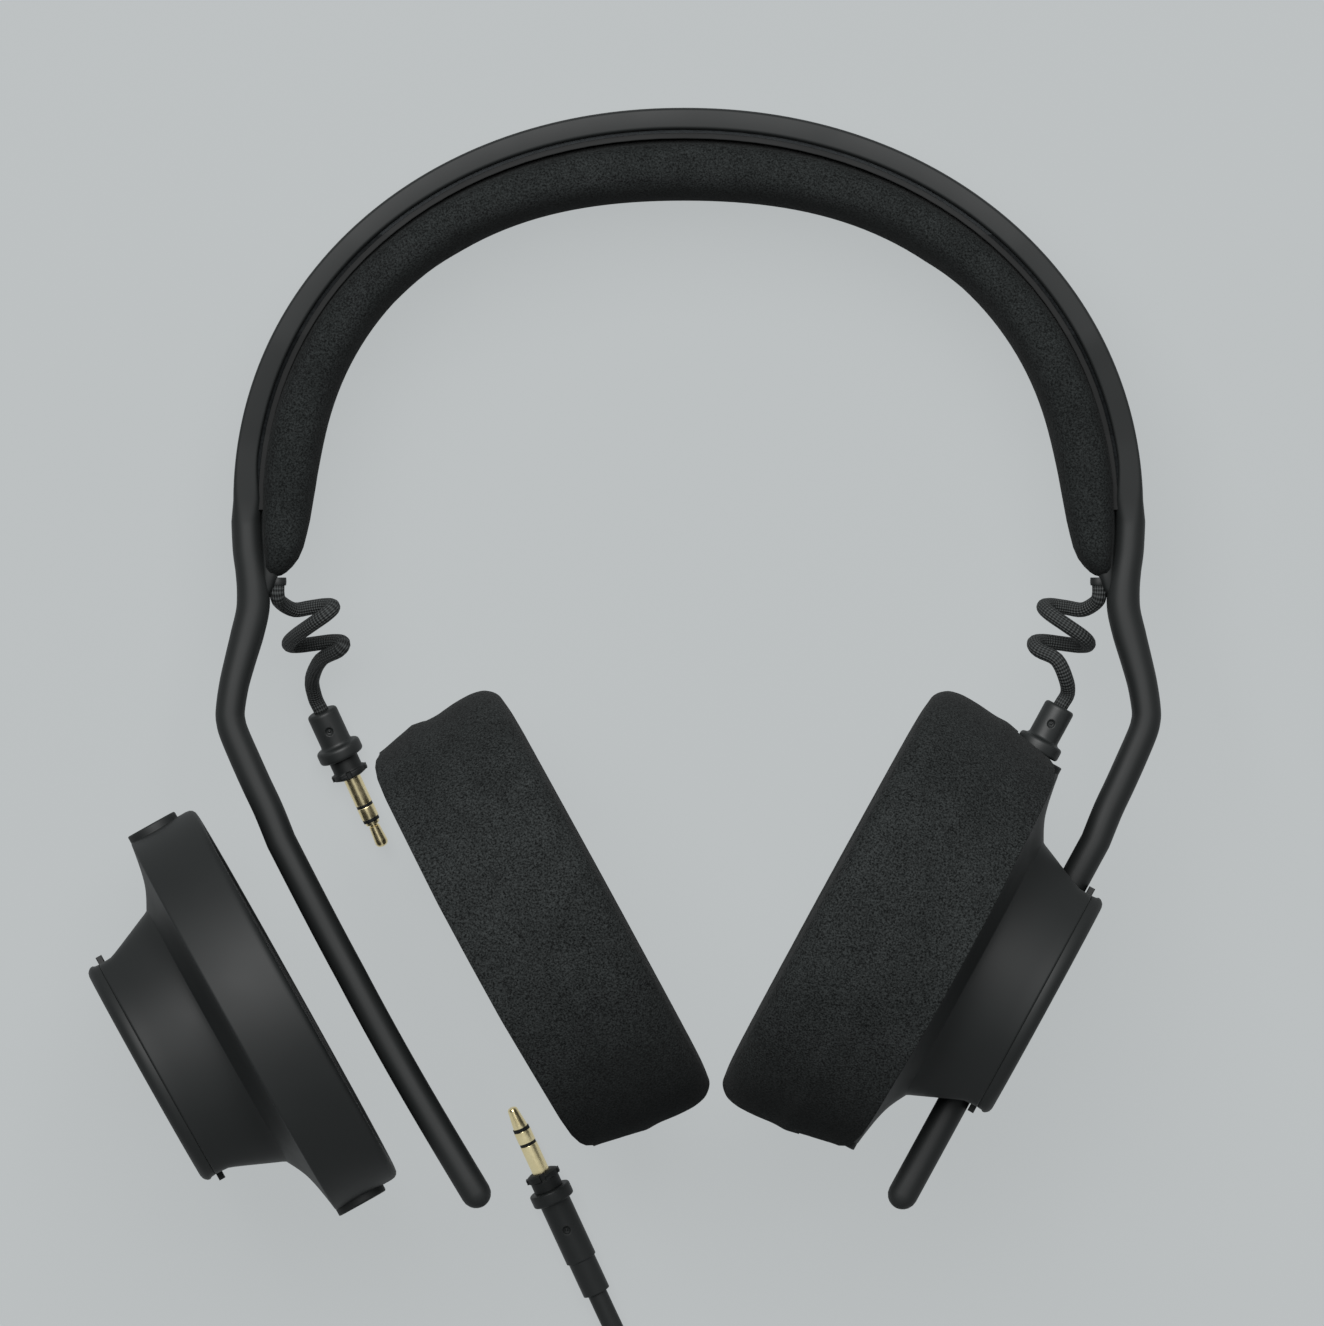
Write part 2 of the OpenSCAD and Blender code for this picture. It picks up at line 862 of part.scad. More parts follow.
// The coil turns left from its left side; it climbs while the spiral turns back.
function coil_point(turn) = let (
    away = abs(turn - coil_middle),
    radius = coil_inner + coil_pitch * away,
    climb = max(0, min(1, (turn - coil_middle) / 0.5 + 0.5)),
    angle = 180 + 360 * turn
) on_plan([
    coil_centre[0] + radius * cos(angle), coil_centre[1] + radius * sin(angle),
    coil_low + coil_pitch * climb
]);

cable_start = on_table(main_plug_end, main_collar_radius);
cable_way = unit(cable_start - on_table(main_plug_tip, main_collar_radius));
far_start = coil_point(coil_turns) + [26, -1.6, 0];

lead_route = [
    cable_start - 2.6 * cable_way, cable_start + 4 * cable_way,
    cable_start + 9 * cable_way + [0, 0, -0.2], on_plan([-12.6, -180, 3.7]),
    on_plan([-13, -190, 3.4]), on_plan([-15.2, -200, 3.2])
];

tail_route = let (last = coil_point(coil_turns)) [
    last + [6, 0.1, -0.6], last + [12, -0.3, -2.2], last + [18, -1.1, -3.8],
    [far_start[0] - 3, far_start[1] - 0.1, barrel_radius],
    [far_start[0] + 2.8, far_start[1], barrel_radius]
];

cable_route = concat(
    lead_route,
    [for (k = [0 : coil_turns * coil_rings]) coil_point(k / coil_rings)],
    tail_route
);

module main_cable() {
    color("#1a1c1c")
        tube(cable_route, cable_diameter / 2, 6);
    echo(
        "main cable", gap = least_gap(cable_route, cable_diameter, 8),
        length = route_length(cable_route)
    );
}

module main_plug_tail() {
    main_plug_place()
        plug_tail(main_contact_length, main_tail_length, 3.4);
}

module main_plug_barrel() {
    main_plug_place()
        plug_barrel(
            main_contact_length + main_tail_length, main_collar_radius, main_barrel_length,
            cable_diameter / 2
        );
}

module main_plug_contacts() {
    main_plug_place()
        plug_contacts(main_tip_length);
}

module main_plug_insulators() {
    main_plug_place()
        plug_insulators(main_tip_length);
}

module cable_tie() {
    inner = coil_inner - 4.2;
    outer = coil_outer + 3;
    top = coil_low + coil_pitch + 2.6;
    color("#0e0f0f")
        translate(on_plan([coil_centre[0], coil_centre[1], 0]))
            rotate([0, 0, 20])
                translate([inner, -5, 0])
                    difference() {
                        cube([outer - inner, 10, top + tie_wall]);
                        translate([tie_wall, -1, tie_wall])
                            cube([outer - inner - 2 * tie_wall, 12, top - tie_wall]);
                    }
}

module far_plug_barrel() {
    far_plug_place()
        color("#1c1e1e")
            translate([0, 0, main_contact_length + wall_gap])
                difference() {
                    cylinder(h = 15.4, r = barrel_radius - 0.05, $fn = 48);
                    translate([0, 0, 12.4])
                        cylinder(h = 5, r = cable_diameter / 2 + wall_gap);
                }
}

module far_plug_contacts() {
    far_plug_place()
        plug_contacts(main_tip_length);
}

module far_plug_insulators() {
    far_plug_place()
        plug_insulators(main_tip_length);
}

// ---- Placed pieces ----

module right_housing() {
    right_place()
        housing();
}

module right_rim() {
    right_place()
        rim();
}

module right_back_cover() {
    right_place()
        back_cover();
}

module right_arm_clip() {
    right_place()
        arm_clip();
}

module right_baffle() {
    right_place()
        baffle();
}

module right_baffle_screws() {
    right_place()
        baffle_screws();
}

module right_driver_frame() {
    right_place()
        driver_frame();
}

module right_driver_magnet() {
    right_place()
        driver_magnet();
}

module right_diaphragm() {
    right_place()
        diaphragm();
}

module right_felt() {
    right_place()
        felt();
}

module right_top_jack() {
    right_place()
        jack();
}

module right_bottom_jack() {
    right_place()
        mirror([0, 1, 0])
            jack();
}

module right_cushion() {
    right_place()
        cushion();
}

module right_pad_skirt() {
    right_place()
        pad_skirt();
}

module right_pad_ring() {
    right_place()
        pad_ring();
}

module right_pad_cloth() {
    right_place()
        pad_cloth();
}

module right_plug_barrel() {
    right_plug_place()
        side_plug_barrel();
}

module right_plug_tail() {
    right_plug_place()
        plug_tail(contact_length, tail_length, 3.65);
}

module right_plug_contacts() {
    right_plug_place()
        plug_contacts(tip_length);
}

module right_plug_insulators() {
    right_plug_place()
        plug_insulators(tip_length);
}

module left_housing() {
    left_speaker_place()
        housing();
}

module left_rim() {
    left_speaker_place()
        rim();
}

module left_back_cover() {
    left_speaker_place()
        back_cover();
}

module left_arm_clip() {
    left_speaker_place()
        arm_clip();
}

module left_baffle() {
    left_speaker_place()
        baffle();
}

module left_baffle_screws() {
    left_speaker_place()
        baffle_screws();
}

module left_driver_frame() {
    left_speaker_place()
        driver_frame();
}

module left_driver_magnet() {
    left_speaker_place()
        driver_magnet();
}

module left_diaphragm() {
    left_speaker_place()
        diaphragm();
}

module left_felt() {
    left_speaker_place()
        felt();
}

module left_top_jack() {
    left_speaker_place()
        jack();
}

module left_bottom_jack() {
    left_speaker_place()
        mirror([0, 1, 0])
            jack();
}

module left_cushion() {
    left_pad_place()
        cushion();
}

module left_pad_skirt() {
    left_pad_place()
        pad_skirt();
}

module left_pad_ring() {
    left_pad_place()
        pad_ring();
}

module left_pad_cloth() {
    left_pad_place()
        pad_cloth();
}

module left_plug_barrel() {
    left_plug_place()
        side_plug_barrel();
}

module left_plug_tail() {
    left_plug_place()
        plug_tail(contact_length, tail_length, 3.65);
}

module left_plug_contacts() {
    left_plug_place()
        plug_contacts(tip_length);
}

module left_plug_insulators() {
    left_plug_place()
        plug_insulators(tip_length);
}

band_shell();
band_spring();
band_backing();
band_pad();
left_arm();
right_arm();
left_cord_gland();
right_cord_gland();
left_curly_cord();
right_curly_cord();
right_housing();
right_rim();
right_back_cover();
right_arm_clip();
right_baffle();
right_baffle_screws();
right_driver_frame();
right_driver_magnet();
right_diaphragm();
right_felt();
right_top_jack();
right_bottom_jack();
right_cushion();
right_pad_skirt();
right_pad_ring();
right_pad_cloth();
right_plug_barrel();
right_plug_tail();
right_plug_contacts();
right_plug_insulators();
left_housing();
left_rim();
left_back_cover();
left_arm_clip();
left_baffle();
left_baffle_screws();
left_driver_frame();
left_driver_magnet();
left_diaphragm();
left_felt();
left_top_jack();
left_bottom_jack();
left_cushion();
left_pad_skirt();
left_pad_ring();
left_pad_cloth();
left_plug_barrel();
left_plug_tail();
left_plug_contacts();
left_plug_insulators();
main_plug_barrel();
main_plug_tail();
main_plug_contacts();
main_plug_insulators();
main_cable();
cable_tie();
far_plug_barrel();
far_plug_contacts();
far_plug_insulators();
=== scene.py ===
"""Modular headset, partly taken apart on a table. Shapes are in millimetres until they are placed.

Headset plane: x to the right, y to the crown, z to the front. LAY tips that plane on to the
table and turns millimetres into metres. A speaker's own frame runs from its front along z.
"""

import math

import bmesh
import bpy
from mathutils import Matrix, Vector
from mathutils.kdtree import KDTree


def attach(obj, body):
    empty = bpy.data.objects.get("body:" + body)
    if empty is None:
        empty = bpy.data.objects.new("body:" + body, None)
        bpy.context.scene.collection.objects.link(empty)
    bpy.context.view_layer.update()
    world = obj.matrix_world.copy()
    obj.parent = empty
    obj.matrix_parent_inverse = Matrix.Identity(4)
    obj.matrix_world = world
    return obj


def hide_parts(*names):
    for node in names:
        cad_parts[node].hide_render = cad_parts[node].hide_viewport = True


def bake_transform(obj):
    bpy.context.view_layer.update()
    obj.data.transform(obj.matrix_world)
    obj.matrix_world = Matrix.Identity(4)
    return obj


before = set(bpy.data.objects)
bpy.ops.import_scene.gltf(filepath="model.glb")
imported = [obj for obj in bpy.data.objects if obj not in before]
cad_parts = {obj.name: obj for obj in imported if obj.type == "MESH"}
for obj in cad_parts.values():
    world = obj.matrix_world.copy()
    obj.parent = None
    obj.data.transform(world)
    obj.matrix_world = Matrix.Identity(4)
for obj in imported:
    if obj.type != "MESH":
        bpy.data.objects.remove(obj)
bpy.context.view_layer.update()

# ---------------------------------------------------------------- sizes, as in the CAD

BAND_HALF_WIDTH = 91.0
BAND_RISE = 80.3
BAND_MIDDLE = -0.24
BAND_LEAN = 0.83
BAND_POWER = 2 / 2.08
BAND_THICKNESS = 4.4
BAND_DEPTH = 30.0
BAND_PAD_THICKNESS = 12.0
PAD_INSET = 6.25
ARM_THICKNESS = 6.05
ARM_DEPTH = 8.5
ARM_TILT = math.radians(28.6)
ARM_END_HEIGHT = -139.9
LEFT_ARM_BOW = 1.1
LEFT_ARM_DRIFT = -0.5
ARM_ROUTE = [
    (88.4, -2), (88.05, -8), (87.5, -12), (87.05, -16), (87.1, -20), (88.24, -25), (89.6, -30),
    (90.85, -35), (91.6, -40), (91.45, -42.5), (90.7, -45), (88.55, -50), (86.3, -55), (83.95, -60),
]
# An arm's thickness, side to side, by its height.
ARM_WIDTHS = [
    (-50, 6.05), (-40, 5.86), (-35, 6.0), (-30, 6.3), (-25, 6.67), (-18, 6.67), (-12, 6.2),
    (0, 6.05),
]
SHELL_TAPER = [(0, 0.285), (15, 0.45), (35, 0.75), (55, 0.93), (81, 1.0)]
PAD_TAPER = [(-20, 0.4), (0, 0.5), (20, 0.66), (40, 0.84), (60, 0.94), (81, 0.97)]

RIM_RADIUS = 42.2
RIM_DEPTH = 14.4
SPEAKER_DEPTH = 34.6
COVER_DEPTH = 31.8
CHANNEL_DEPTH = 27.25
CHANNEL_HALF_WIDTH = 7.1
CHANNEL_FLOOR = 22.98
JACK_DEPTH = 8.2
JACK_END = 43.3
JACK_LENGTH = 20.3
JACK_MOUTH = 43.5
JACK_RADIUS = 4.2
JACK_BORE = 1.8
TAIL_BORE = 3.85
TAIL_SEAT = 4.2
LUG_RADIUS = 5.4
LUG_DEPTH = 9.1
PAD_RADIUS = 47.0
PAD_RISE = 15.8
SKIRT_DEPTH = 14.5
EAR_RADIUS = 23.0

PLUG_RADIUS = 1.75
TIP_LENGTH = 5.8
MAIN_TIP_LENGTH = 4.6
RING_GAP = 0.6
RING_LENGTH = 2.55
SLEEVE_GAP = 0.6
SLEEVE_LENGTH = 6.1
CONTACT_LENGTH = TIP_LENGTH + RING_GAP + RING_LENGTH + SLEEVE_GAP + SLEEVE_LENGTH
MAIN_CONTACT_LENGTH = CONTACT_LENGTH - TIP_LENGTH + MAIN_TIP_LENGTH
TAIL_LENGTH = 4.4
COLLAR_RADIUS = 4.6
COLLAR_LENGTH = 2.7
BARREL_RADIUS = 3.15
BARREL_LENGTH = 7.6
MAIN_TAIL_LENGTH = 3.9
MAIN_COLLAR_RADIUS = 4.3
MAIN_BARREL_LENGTH = 20.65
FAR_BARREL_LENGTH = 15.4
SOCKET_GAP = 0.5

CURL_CORD_DIAMETER = 3.0
CABLE_DIAMETER = 4.0
CURL_RADIUS = 4.7
CURL_DEPTH = 4.4
CURL_PITCH = 7.2
CURL_LEAN = 1.9
CURL_DRIFT = 1.9
CURL_START = (75.8, -19.4)
GLAND_PLACE = (82.2, -14.7)
COIL_CENTRE = (14, -214)
COIL_TURNS = 7.25
COIL_PITCH = 4.5
COIL_OUTER = 32.0
COIL_LOW = 3.1

RIGHT_CUP = (41, -83)
LEFT_CUP = (-78.7, -96.4)
LEFT_PAD_FACE = (-16.5, -75.36)
LEFT_PLUG_TIP = (-61.5, -67.36)
LEFT_PLUG_TOP = (-73.96, -40.19)
MAIN_PLUG_TIP = (-35.81, -120.07)
MAIN_PLUG_END = (-18.67, -157.31)

LAY_TILT = math.radians(11.65)
LOOSE_TILT = math.radians(29.2)
PLATE_CENTRE = (-12.93, -29.39)
CROWN_RISE = BAND_RISE * math.sin(LAY_TILT) + BAND_DEPTH / 2 * math.cos(LAY_TILT)

# The camera looks straight on to the headset's plane.
VIEW_CENTRE = (-5.5, -30.6)
VIEW_WIDTH = 265.2
VIEW_DISTANCE = 8000.0

# ---------------------------------------------------------------- placing

MM = Matrix.Scale(0.001, 4)
LAY = (
    MM
    @ Matrix.Translation((-PLATE_CENTRE[0], -PLATE_CENTRE[1], CROWN_RISE))
    @ Matrix.Rotation(-LAY_TILT, 4, "X")
)
MIRROR_X = Matrix.Scale(-1, 4, (1, 0, 0))


def on_table(at, height):
    """The point over the table, in mm, straight behind one of the headset's plane."""
    y = at[1] / math.cos(LAY_TILT) + (height - CROWN_RISE) * math.tan(LAY_TILT)
    return Vector((at[0] - PLATE_CENTRE[0], y - PLATE_CENTRE[1], height))


def on_plan(x, y, z):
    return Vector((x - PLATE_CENTRE[0], y - PLATE_CENTRE[1], z))


def rest_on_edge(height, radius, tilt):
    """How far towards the front a tilted disc moves for its edge to touch the table."""
    lean = math.sin(tilt) * math.sin(LAY_TILT)
    reach = radius * math.sqrt(1 - lean * lean)
    return (reach - CROWN_RISE + height * math.sin(LAY_TILT)) / math.cos(LAY_TILT)


def speaker_turn(tilt):
    return Matrix.Rotation(-tilt, 4, "Z") @ Matrix.Rotation(math.pi / 2, 4, "Y")


RIGHT_SPEAKER = LAY @ Matrix.Translation((*RIGHT_CUP, 0)) @ speaker_turn(ARM_TILT)
LEFT_SPEAKER = (
    LAY
    @ Matrix.Translation((*LEFT_CUP, rest_on_edge(LEFT_CUP[1] - 0.6, RIM_RADIUS, LOOSE_TILT)))
    @ MIRROR_X
    @ speaker_turn(LOOSE_TILT)
)
LEFT_PAD = (
    LAY
    @ Matrix.Translation(
        (*LEFT_PAD_FACE, rest_on_edge(LEFT_PAD_FACE[1] - 3.2, PAD_RADIUS, ARM_TILT))
    )
    @ MIRROR_X
    @ speaker_turn(ARM_TILT)
    @ Matrix.Translation((0, 0, PAD_RISE))
)


def plug_place(tip, top):
    """A plug's own frame runs from its tip along z. tip and top are in mm in the part's frame."""
    turn = (top - tip).to_track_quat("Z", "Y").to_matrix().to_4x4()
    return MM @ Matrix.Translation(tip) @ turn


RIGHT_PLUG_TIP_REACH = JACK_MOUTH + SOCKET_GAP - TAIL_LENGTH - CONTACT_LENGTH
RIGHT_PLUG = (
    RIGHT_SPEAKER
    @ Matrix.Translation((0, RIGHT_PLUG_TIP_REACH, JACK_DEPTH))
    @ Matrix.Rotation(-math.pi / 2, 4, "X")
    @ Matrix.Rotation(math.pi / 2, 4, "Z")
)
LEFT_PLUG = plug_place(
    on_table(LEFT_PLUG_TIP, COLLAR_RADIUS), on_table(LEFT_PLUG_TOP, COLLAR_RADIUS)
)
MAIN_PLUG = plug_place(
    on_table(MAIN_PLUG_TIP, MAIN_COLLAR_RADIUS), on_table(MAIN_PLUG_END, MAIN_COLLAR_RADIUS)
)

# ---------------------------------------------------------------- camera


def make_camera():
    data = bpy.data.cameras.new("camera")
    data.sensor_width = 36.0
    data.lens = 36.0 * VIEW_DISTANCE / VIEW_WIDTH
    data.clip_start = 0.1
    data.clip_end = 30.0
    camera = bpy.data.objects.new("camera", data)
    bpy.context.scene.collection.objects.link(camera)
    seat = LAY @ Matrix.Translation((*VIEW_CENTRE, VIEW_DISTANCE))
    camera.matrix_world = Matrix.LocRotScale(seat.translation, seat.to_quaternion(), None)
    bpy.context.scene.camera = camera


make_camera()

# ---------------------------------------------------------------- mesh helpers


def make_object(name, bm, material, place=MM, sharp=35):
    """Turns a bmesh in a local frame into a smooth-shaded object at its place."""
    bm.transform(place)
    if place.determinant() < 0:
        bmesh.ops.reverse_faces(bm, faces=bm.faces)
    mesh = bpy.data.meshes.new(name)
    bm.to_mesh(mesh)
    bm.free()
    mesh.materials.append(material)
    for polygon in mesh.polygons:
        polygon.use_smooth = True
    mesh.set_sharp_from_angle(angle=math.radians(sharp))
    piece = bpy.data.objects.new(name, mesh)
    bpy.context.scene.collection.objects.link(piece)
    return piece


def settle(piece, body, slot, *replaced):
    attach(piece, body)
    if replaced:
        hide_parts(*replaced)
    return piece


def fillet(points, steps=4):
    """An outline whose corners with a third value are rounded by that radius."""
    out = []
    for i, point in enumerate(points):
        here = Vector(point[:2])
        radius = point[2] if len(point) > 2 else 0
        if not radius or i in (0, len(points) - 1):
            out.append(here)
            continue
        before = Vector(points[i - 1][:2]) - here
        after = Vector(points[i + 1][:2]) - here
        reach = min(radius, before.length * 0.49, after.length * 0.49)
        first = here + before.normalized() * reach
        last = here + after.normalized() * reach
        for k in range(steps + 1):
            t = k / steps
            out.append(first * (1 - t) ** 2 + here * 2 * t * (1 - t) + last * t * t)
    return out


def lathe(profile, segments=128):
    """A surface of revolution about z from (radius, height) points."""
    bm = bmesh.new()
    rings = []
    for radius, height in profile:
        if radius < 1e-6:
            rings.append([bm.verts.new((0, 0, height))])
            continue
        rings.append([
            bm.verts.new((
                radius * math.cos(2 * math.pi * k / segments),
                radius * math.sin(2 * math.pi * k / segments),
                height,
            ))
            for k in range(segments)
        ])
    for low, high in zip(rings, rings[1:]):
        for k in range(segments):
            after = (k + 1) % segments
            corners = [low[k % len(low)], low[after % len(low)]]
            corners += [high[after % len(high)], high[k % len(high)]]
            unique = list(dict.fromkeys(corners))
            if len(unique) > 2:
                bm.faces.new(unique)
    bmesh.ops.recalc_face_normals(bm, faces=bm.faces)
    return bm


def skin(rings):
    """A closed surface over rings of points, with u round each ring and v in mm along them."""
    bm = bmesh.new()
    uv = bm.loops.layers.uv.new("UVMap")
    count = len(rings[0])
    verts = [[bm.verts.new(p) for p in ring] for ring in rings]
    along = [0.0]
    for a, b in zip(rings, rings[1:]):
        middle_a = sum((Vector(p) for p in a), Vector()) / count
        middle_b = sum((Vector(p) for p in b), Vector()) / count
        along.append(along[-1] + (middle_b - middle_a).length)
    for i, (low, high) in enumerate(zip(verts, verts[1:])):
        for k in range(count):
            after = (k + 1) % count
            face = bm.faces.new((low[k], low[after], high[after], high[k]))
            places = [(k, i), (k + 1, i), (k + 1, i + 1), (k, i + 1)]
            for loop, (turn, row) in zip(face.loops, places):
                loop[uv].uv = (turn / count, along[row])
    bm.faces.new(verts[0])
    bm.faces.new(list(reversed(verts[-1])))
    bmesh.ops.recalc_face_normals(bm, faces=bm.faces)
    return bm


def smooth_route(points, steps=4):
    """A curve through the points, with steps pieces from each to the next."""
    ends = [points[0] * 2 - points[1], *points, points[-1] * 2 - points[-2]]
    out = []
    for a, b, c, d in zip(ends, ends[1:], ends[2:], ends[3:]):
        for k in range(steps):
            t = k / steps
            out.append(
                0.5 * (
                    2 * b
                    + (c - a) * t
                    + (2 * a - 5 * b + 4 * c - d) * t ** 2
                    + (3 * b - a - 3 * c + d) * t ** 3
                )
            )
    out.append(points[-1])
    return out


def tangents(route):
    last = len(route) - 1
    return [(route[min(i + 1, last)] - route[max(i - 1, 0)]).normalized() for i in range(last + 1)]


def tube(route, radius, sides=16):
    along = tangents(route)
    side = Vector((0.3, 0.2, 1))
    rings = []
    for point, way in zip(route, along):
        side = (side - side.dot(way) * way).normalized()
        other = way.cross(side)
        rings.append([
            point
            + radius * math.cos(2 * math.pi * k / sides) * side
            + radius * math.sin(2 * math.pi * k / sides) * other
            for k in range(sides)
        ])
    return skin(rings)


def lookup(table, at):
    if at <= table[0][0]:
        return table[0][1]
    for (x0, y0), (x1, y1) in zip(table, table[1:]):
        if at <= x1:
            return y0 + (y1 - y0) * (at - x0) / (x1 - x0)
    return table[-1][1]


def box_mesh(low, high):
    bm = bmesh.new()
    bmesh.ops.create_cube(bm, size=1)
    middle = [(a + b) / 2 for a, b in zip(low, high)]
    size = [b - a for a, b in zip(low, high)]
    bm.transform(Matrix.Translation(middle) @ Matrix.Diagonal((*size, 1)))
    return bm


def combined(base, others):
    """base after each (operation, other) of exact solids."""
    def temporary(bm):
        mesh = bpy.data.meshes.new("temporary")
        bm.to_mesh(mesh)
        bm.free()
        made = bpy.data.objects.new("temporary", mesh)
        bpy.context.scene.collection.objects.link(made)
        return made

    body = temporary(base)
    helpers = []
    for operation, other in others:
        helper = temporary(other)
        modifier = body.modifiers.new("cut", "BOOLEAN")
        modifier.operation = operation
        modifier.solver = "EXACT"
        modifier.object = helper
        helpers.append(helper)
    evaluated = body.evaluated_get(bpy.context.evaluated_depsgraph_get())
    bm = bmesh.new()
    bm.from_mesh(evaluated.to_mesh())
    evaluated.to_mesh_clear()
    for made in [body, *helpers]:
        mesh = made.data
        bpy.data.objects.remove(made)
        bpy.data.meshes.remove(mesh)
    return bm


def joined(meshes):
    """One bmesh from several."""
    whole = bmesh.new()
    for bm in meshes:
        mesh = bpy.data.meshes.new("temporary")
        bm.to_mesh(mesh)
        bm.free()
        whole.from_mesh(mesh)
        bpy.data.meshes.remove(mesh)
    return whole


def puff(bm, cap, weight):
    """Lets a padded form's cover swell: a coarse copy is blown up as cloth, and the swellings and
    hollows that it gains about its own mean, up to cap mm, are carried over to the fine mesh."""
    scene = bpy.context.scene
    mesh = bpy.data.meshes.new("cover")
    bm.to_mesh(mesh)
    mesh.transform(MM)
    cover = bpy.data.objects.new("cover", mesh)
    scene.collection.objects.link(cover)
    remesh = cover.modifiers.new("remesh", "REMESH")
    remesh.mode = "VOXEL"
    remesh.voxel_size = 0.004
    evaluated = cover.evaluated_get(bpy.context.evaluated_depsgraph_get())
    coarse = bpy.data.meshes.new_from_object(evaluated)
    cover.modifiers.clear()
    cover.data = coarse
    cloth = cover.modifiers.new("cloth", "CLOTH")
    cloth.settings.use_pressure = True
    cloth.settings.uniform_pressure_force = 4.0
    cloth.settings.effector_weights.gravity = 0.0
    for number in range(1, 21):
        scene.frame_set(number)
    evaluated = cover.evaluated_get(bpy.context.evaluated_depsgraph_get())
    rise = [
        (new.co - old.co).dot(old.normal) * 1000
        for old, new in zip(coarse.vertices, evaluated.data.vertices)
    ]
    mean = sum(rise) / len(rise)
    tree = KDTree(len(rise))
    for i, vertex in enumerate(coarse.vertices):
        tree.insert(vertex.co * 1000, i)
    tree.balance()
    bm.normal_update()
    moves = []
    for vertex in bm.verts:
        near = [
            (rise[i] - mean, 1 / (distance + 1.5) ** 2)
            for co, i, distance in tree.find_n(vertex.co, 12)
        ]
        swell = sum(value * share for value, share in near) / sum(share for value, share in near)
        moves.append(vertex.normal * max(-cap, min(cap, swell)) * weight(vertex.co))
    for vertex, move in zip(bm.verts, moves):
        vertex.co += move
    scene.frame_set(1)
    bpy.data.objects.remove(cover)
    bpy.data.meshes.remove(coarse)
    bpy.data.meshes.remove(mesh)


# ---------------------------------------------------------------- materials


def linear(code):
    """An sRGB hex colour as linear RGBA."""
    parts = [int(code[i : i + 2], 16) / 255 for i in (1, 3, 5)]
    return [p / 12.92 if p <= 0.04045 else ((p + 0.055) / 1.055) ** 2.4 for p in parts] + [1.0]


def set_inputs(tree, node, **inputs):
    """Sets a node's inputs to values, or links them from sockets. i0, i1 and so on go by number."""
    for key, value in inputs.items():
        by_number = key[0] == "i" and key[1:].isdigit()
        target = node.inputs[int(key[1:]) if by_number else key.replace("_", " ")]
        if isinstance(value, bpy.types.NodeSocket):
            tree.links.new(value, target)
        else:
            target.default_value = value


def add(tree, kind, settings=None, **inputs):
    """A node with its settings and its inputs."""
    node = tree.nodes.new(kind)
    for key, value in (settings or {}).items():
        setattr(node, key, value)
    set_inputs(tree, node, **inputs)
    return node


def new_material(name):
    """A material with an empty Principled shader, and its tree."""
    material = bpy.data.materials.new(name)
    material.use_nodes = True
    tree = material.node_tree
    return material, tree, tree.nodes["Principled BSDF"]


def object_point(tree):
    return add(tree, "ShaderNodeTexCoord").outputs["Object"]


def noise(tree, size_mm, detail=3.0, roughness=0.55):
    """Noise whose features are about size_mm across, from 0 to 1."""
    return add(
        tree, "ShaderNodeTexNoise", Vector=object_point(tree),
        Scale=1000.0 / size_mm, Detail=detail, Roughness=roughness,
    ).outputs[0]


def ramp(tree, factor, low, high, colour_low, colour_high):
    """One colour at low and below, another at high and above, and a blend between."""
    node = add(tree, "ShaderNodeMapRange", Value=factor, From_Min=low, From_Max=high)
    mix = add(tree, "ShaderNodeMix", {"data_type": "RGBA"}, Factor=node.outputs["Result"])
    mix.inputs[6].default_value = linear(colour_low)
    mix.inputs[7].default_value = linear(colour_high)
    return mix.outputs[2]


def moulded_plastic(name, dark, light, roughness, grain=0.012):
    """Injection-moulded plastic from a fine spark-eroded tool, grain mm deep.

    The grain spreads the light to a satin sheen, and its edges are softened by 0.3 mm.
    """
    material, tree, shader = new_material(name)
    cloud = noise(tree, 18.0, 2.0)
    fine = noise(tree, 0.35, 2.0)
    edges = add(tree, "ShaderNodeBevel", {"samples": 6}, Radius=0.0003)
    bump = add(
        tree, "ShaderNodeBump", Strength=0.25, Distance=grain * 0.001, Height=fine,
        Normal=edges.outputs["Normal"],
    )
    sheen = add(
        tree, "ShaderNodeMapRange", Value=cloud, From_Min=0.3, From_Max=0.7,
        To_Min=roughness - 0.03, To_Max=roughness + 0.03,
    )
    set_inputs(
        tree, shader, Base_Color=ramp(tree, cloud, 0.3, 0.7, dark, light),
        Roughness=sheen.outputs["Result"], Normal=bump.outputs["Normal"], Specular_IOR_Level=0.28,
    )
    return material


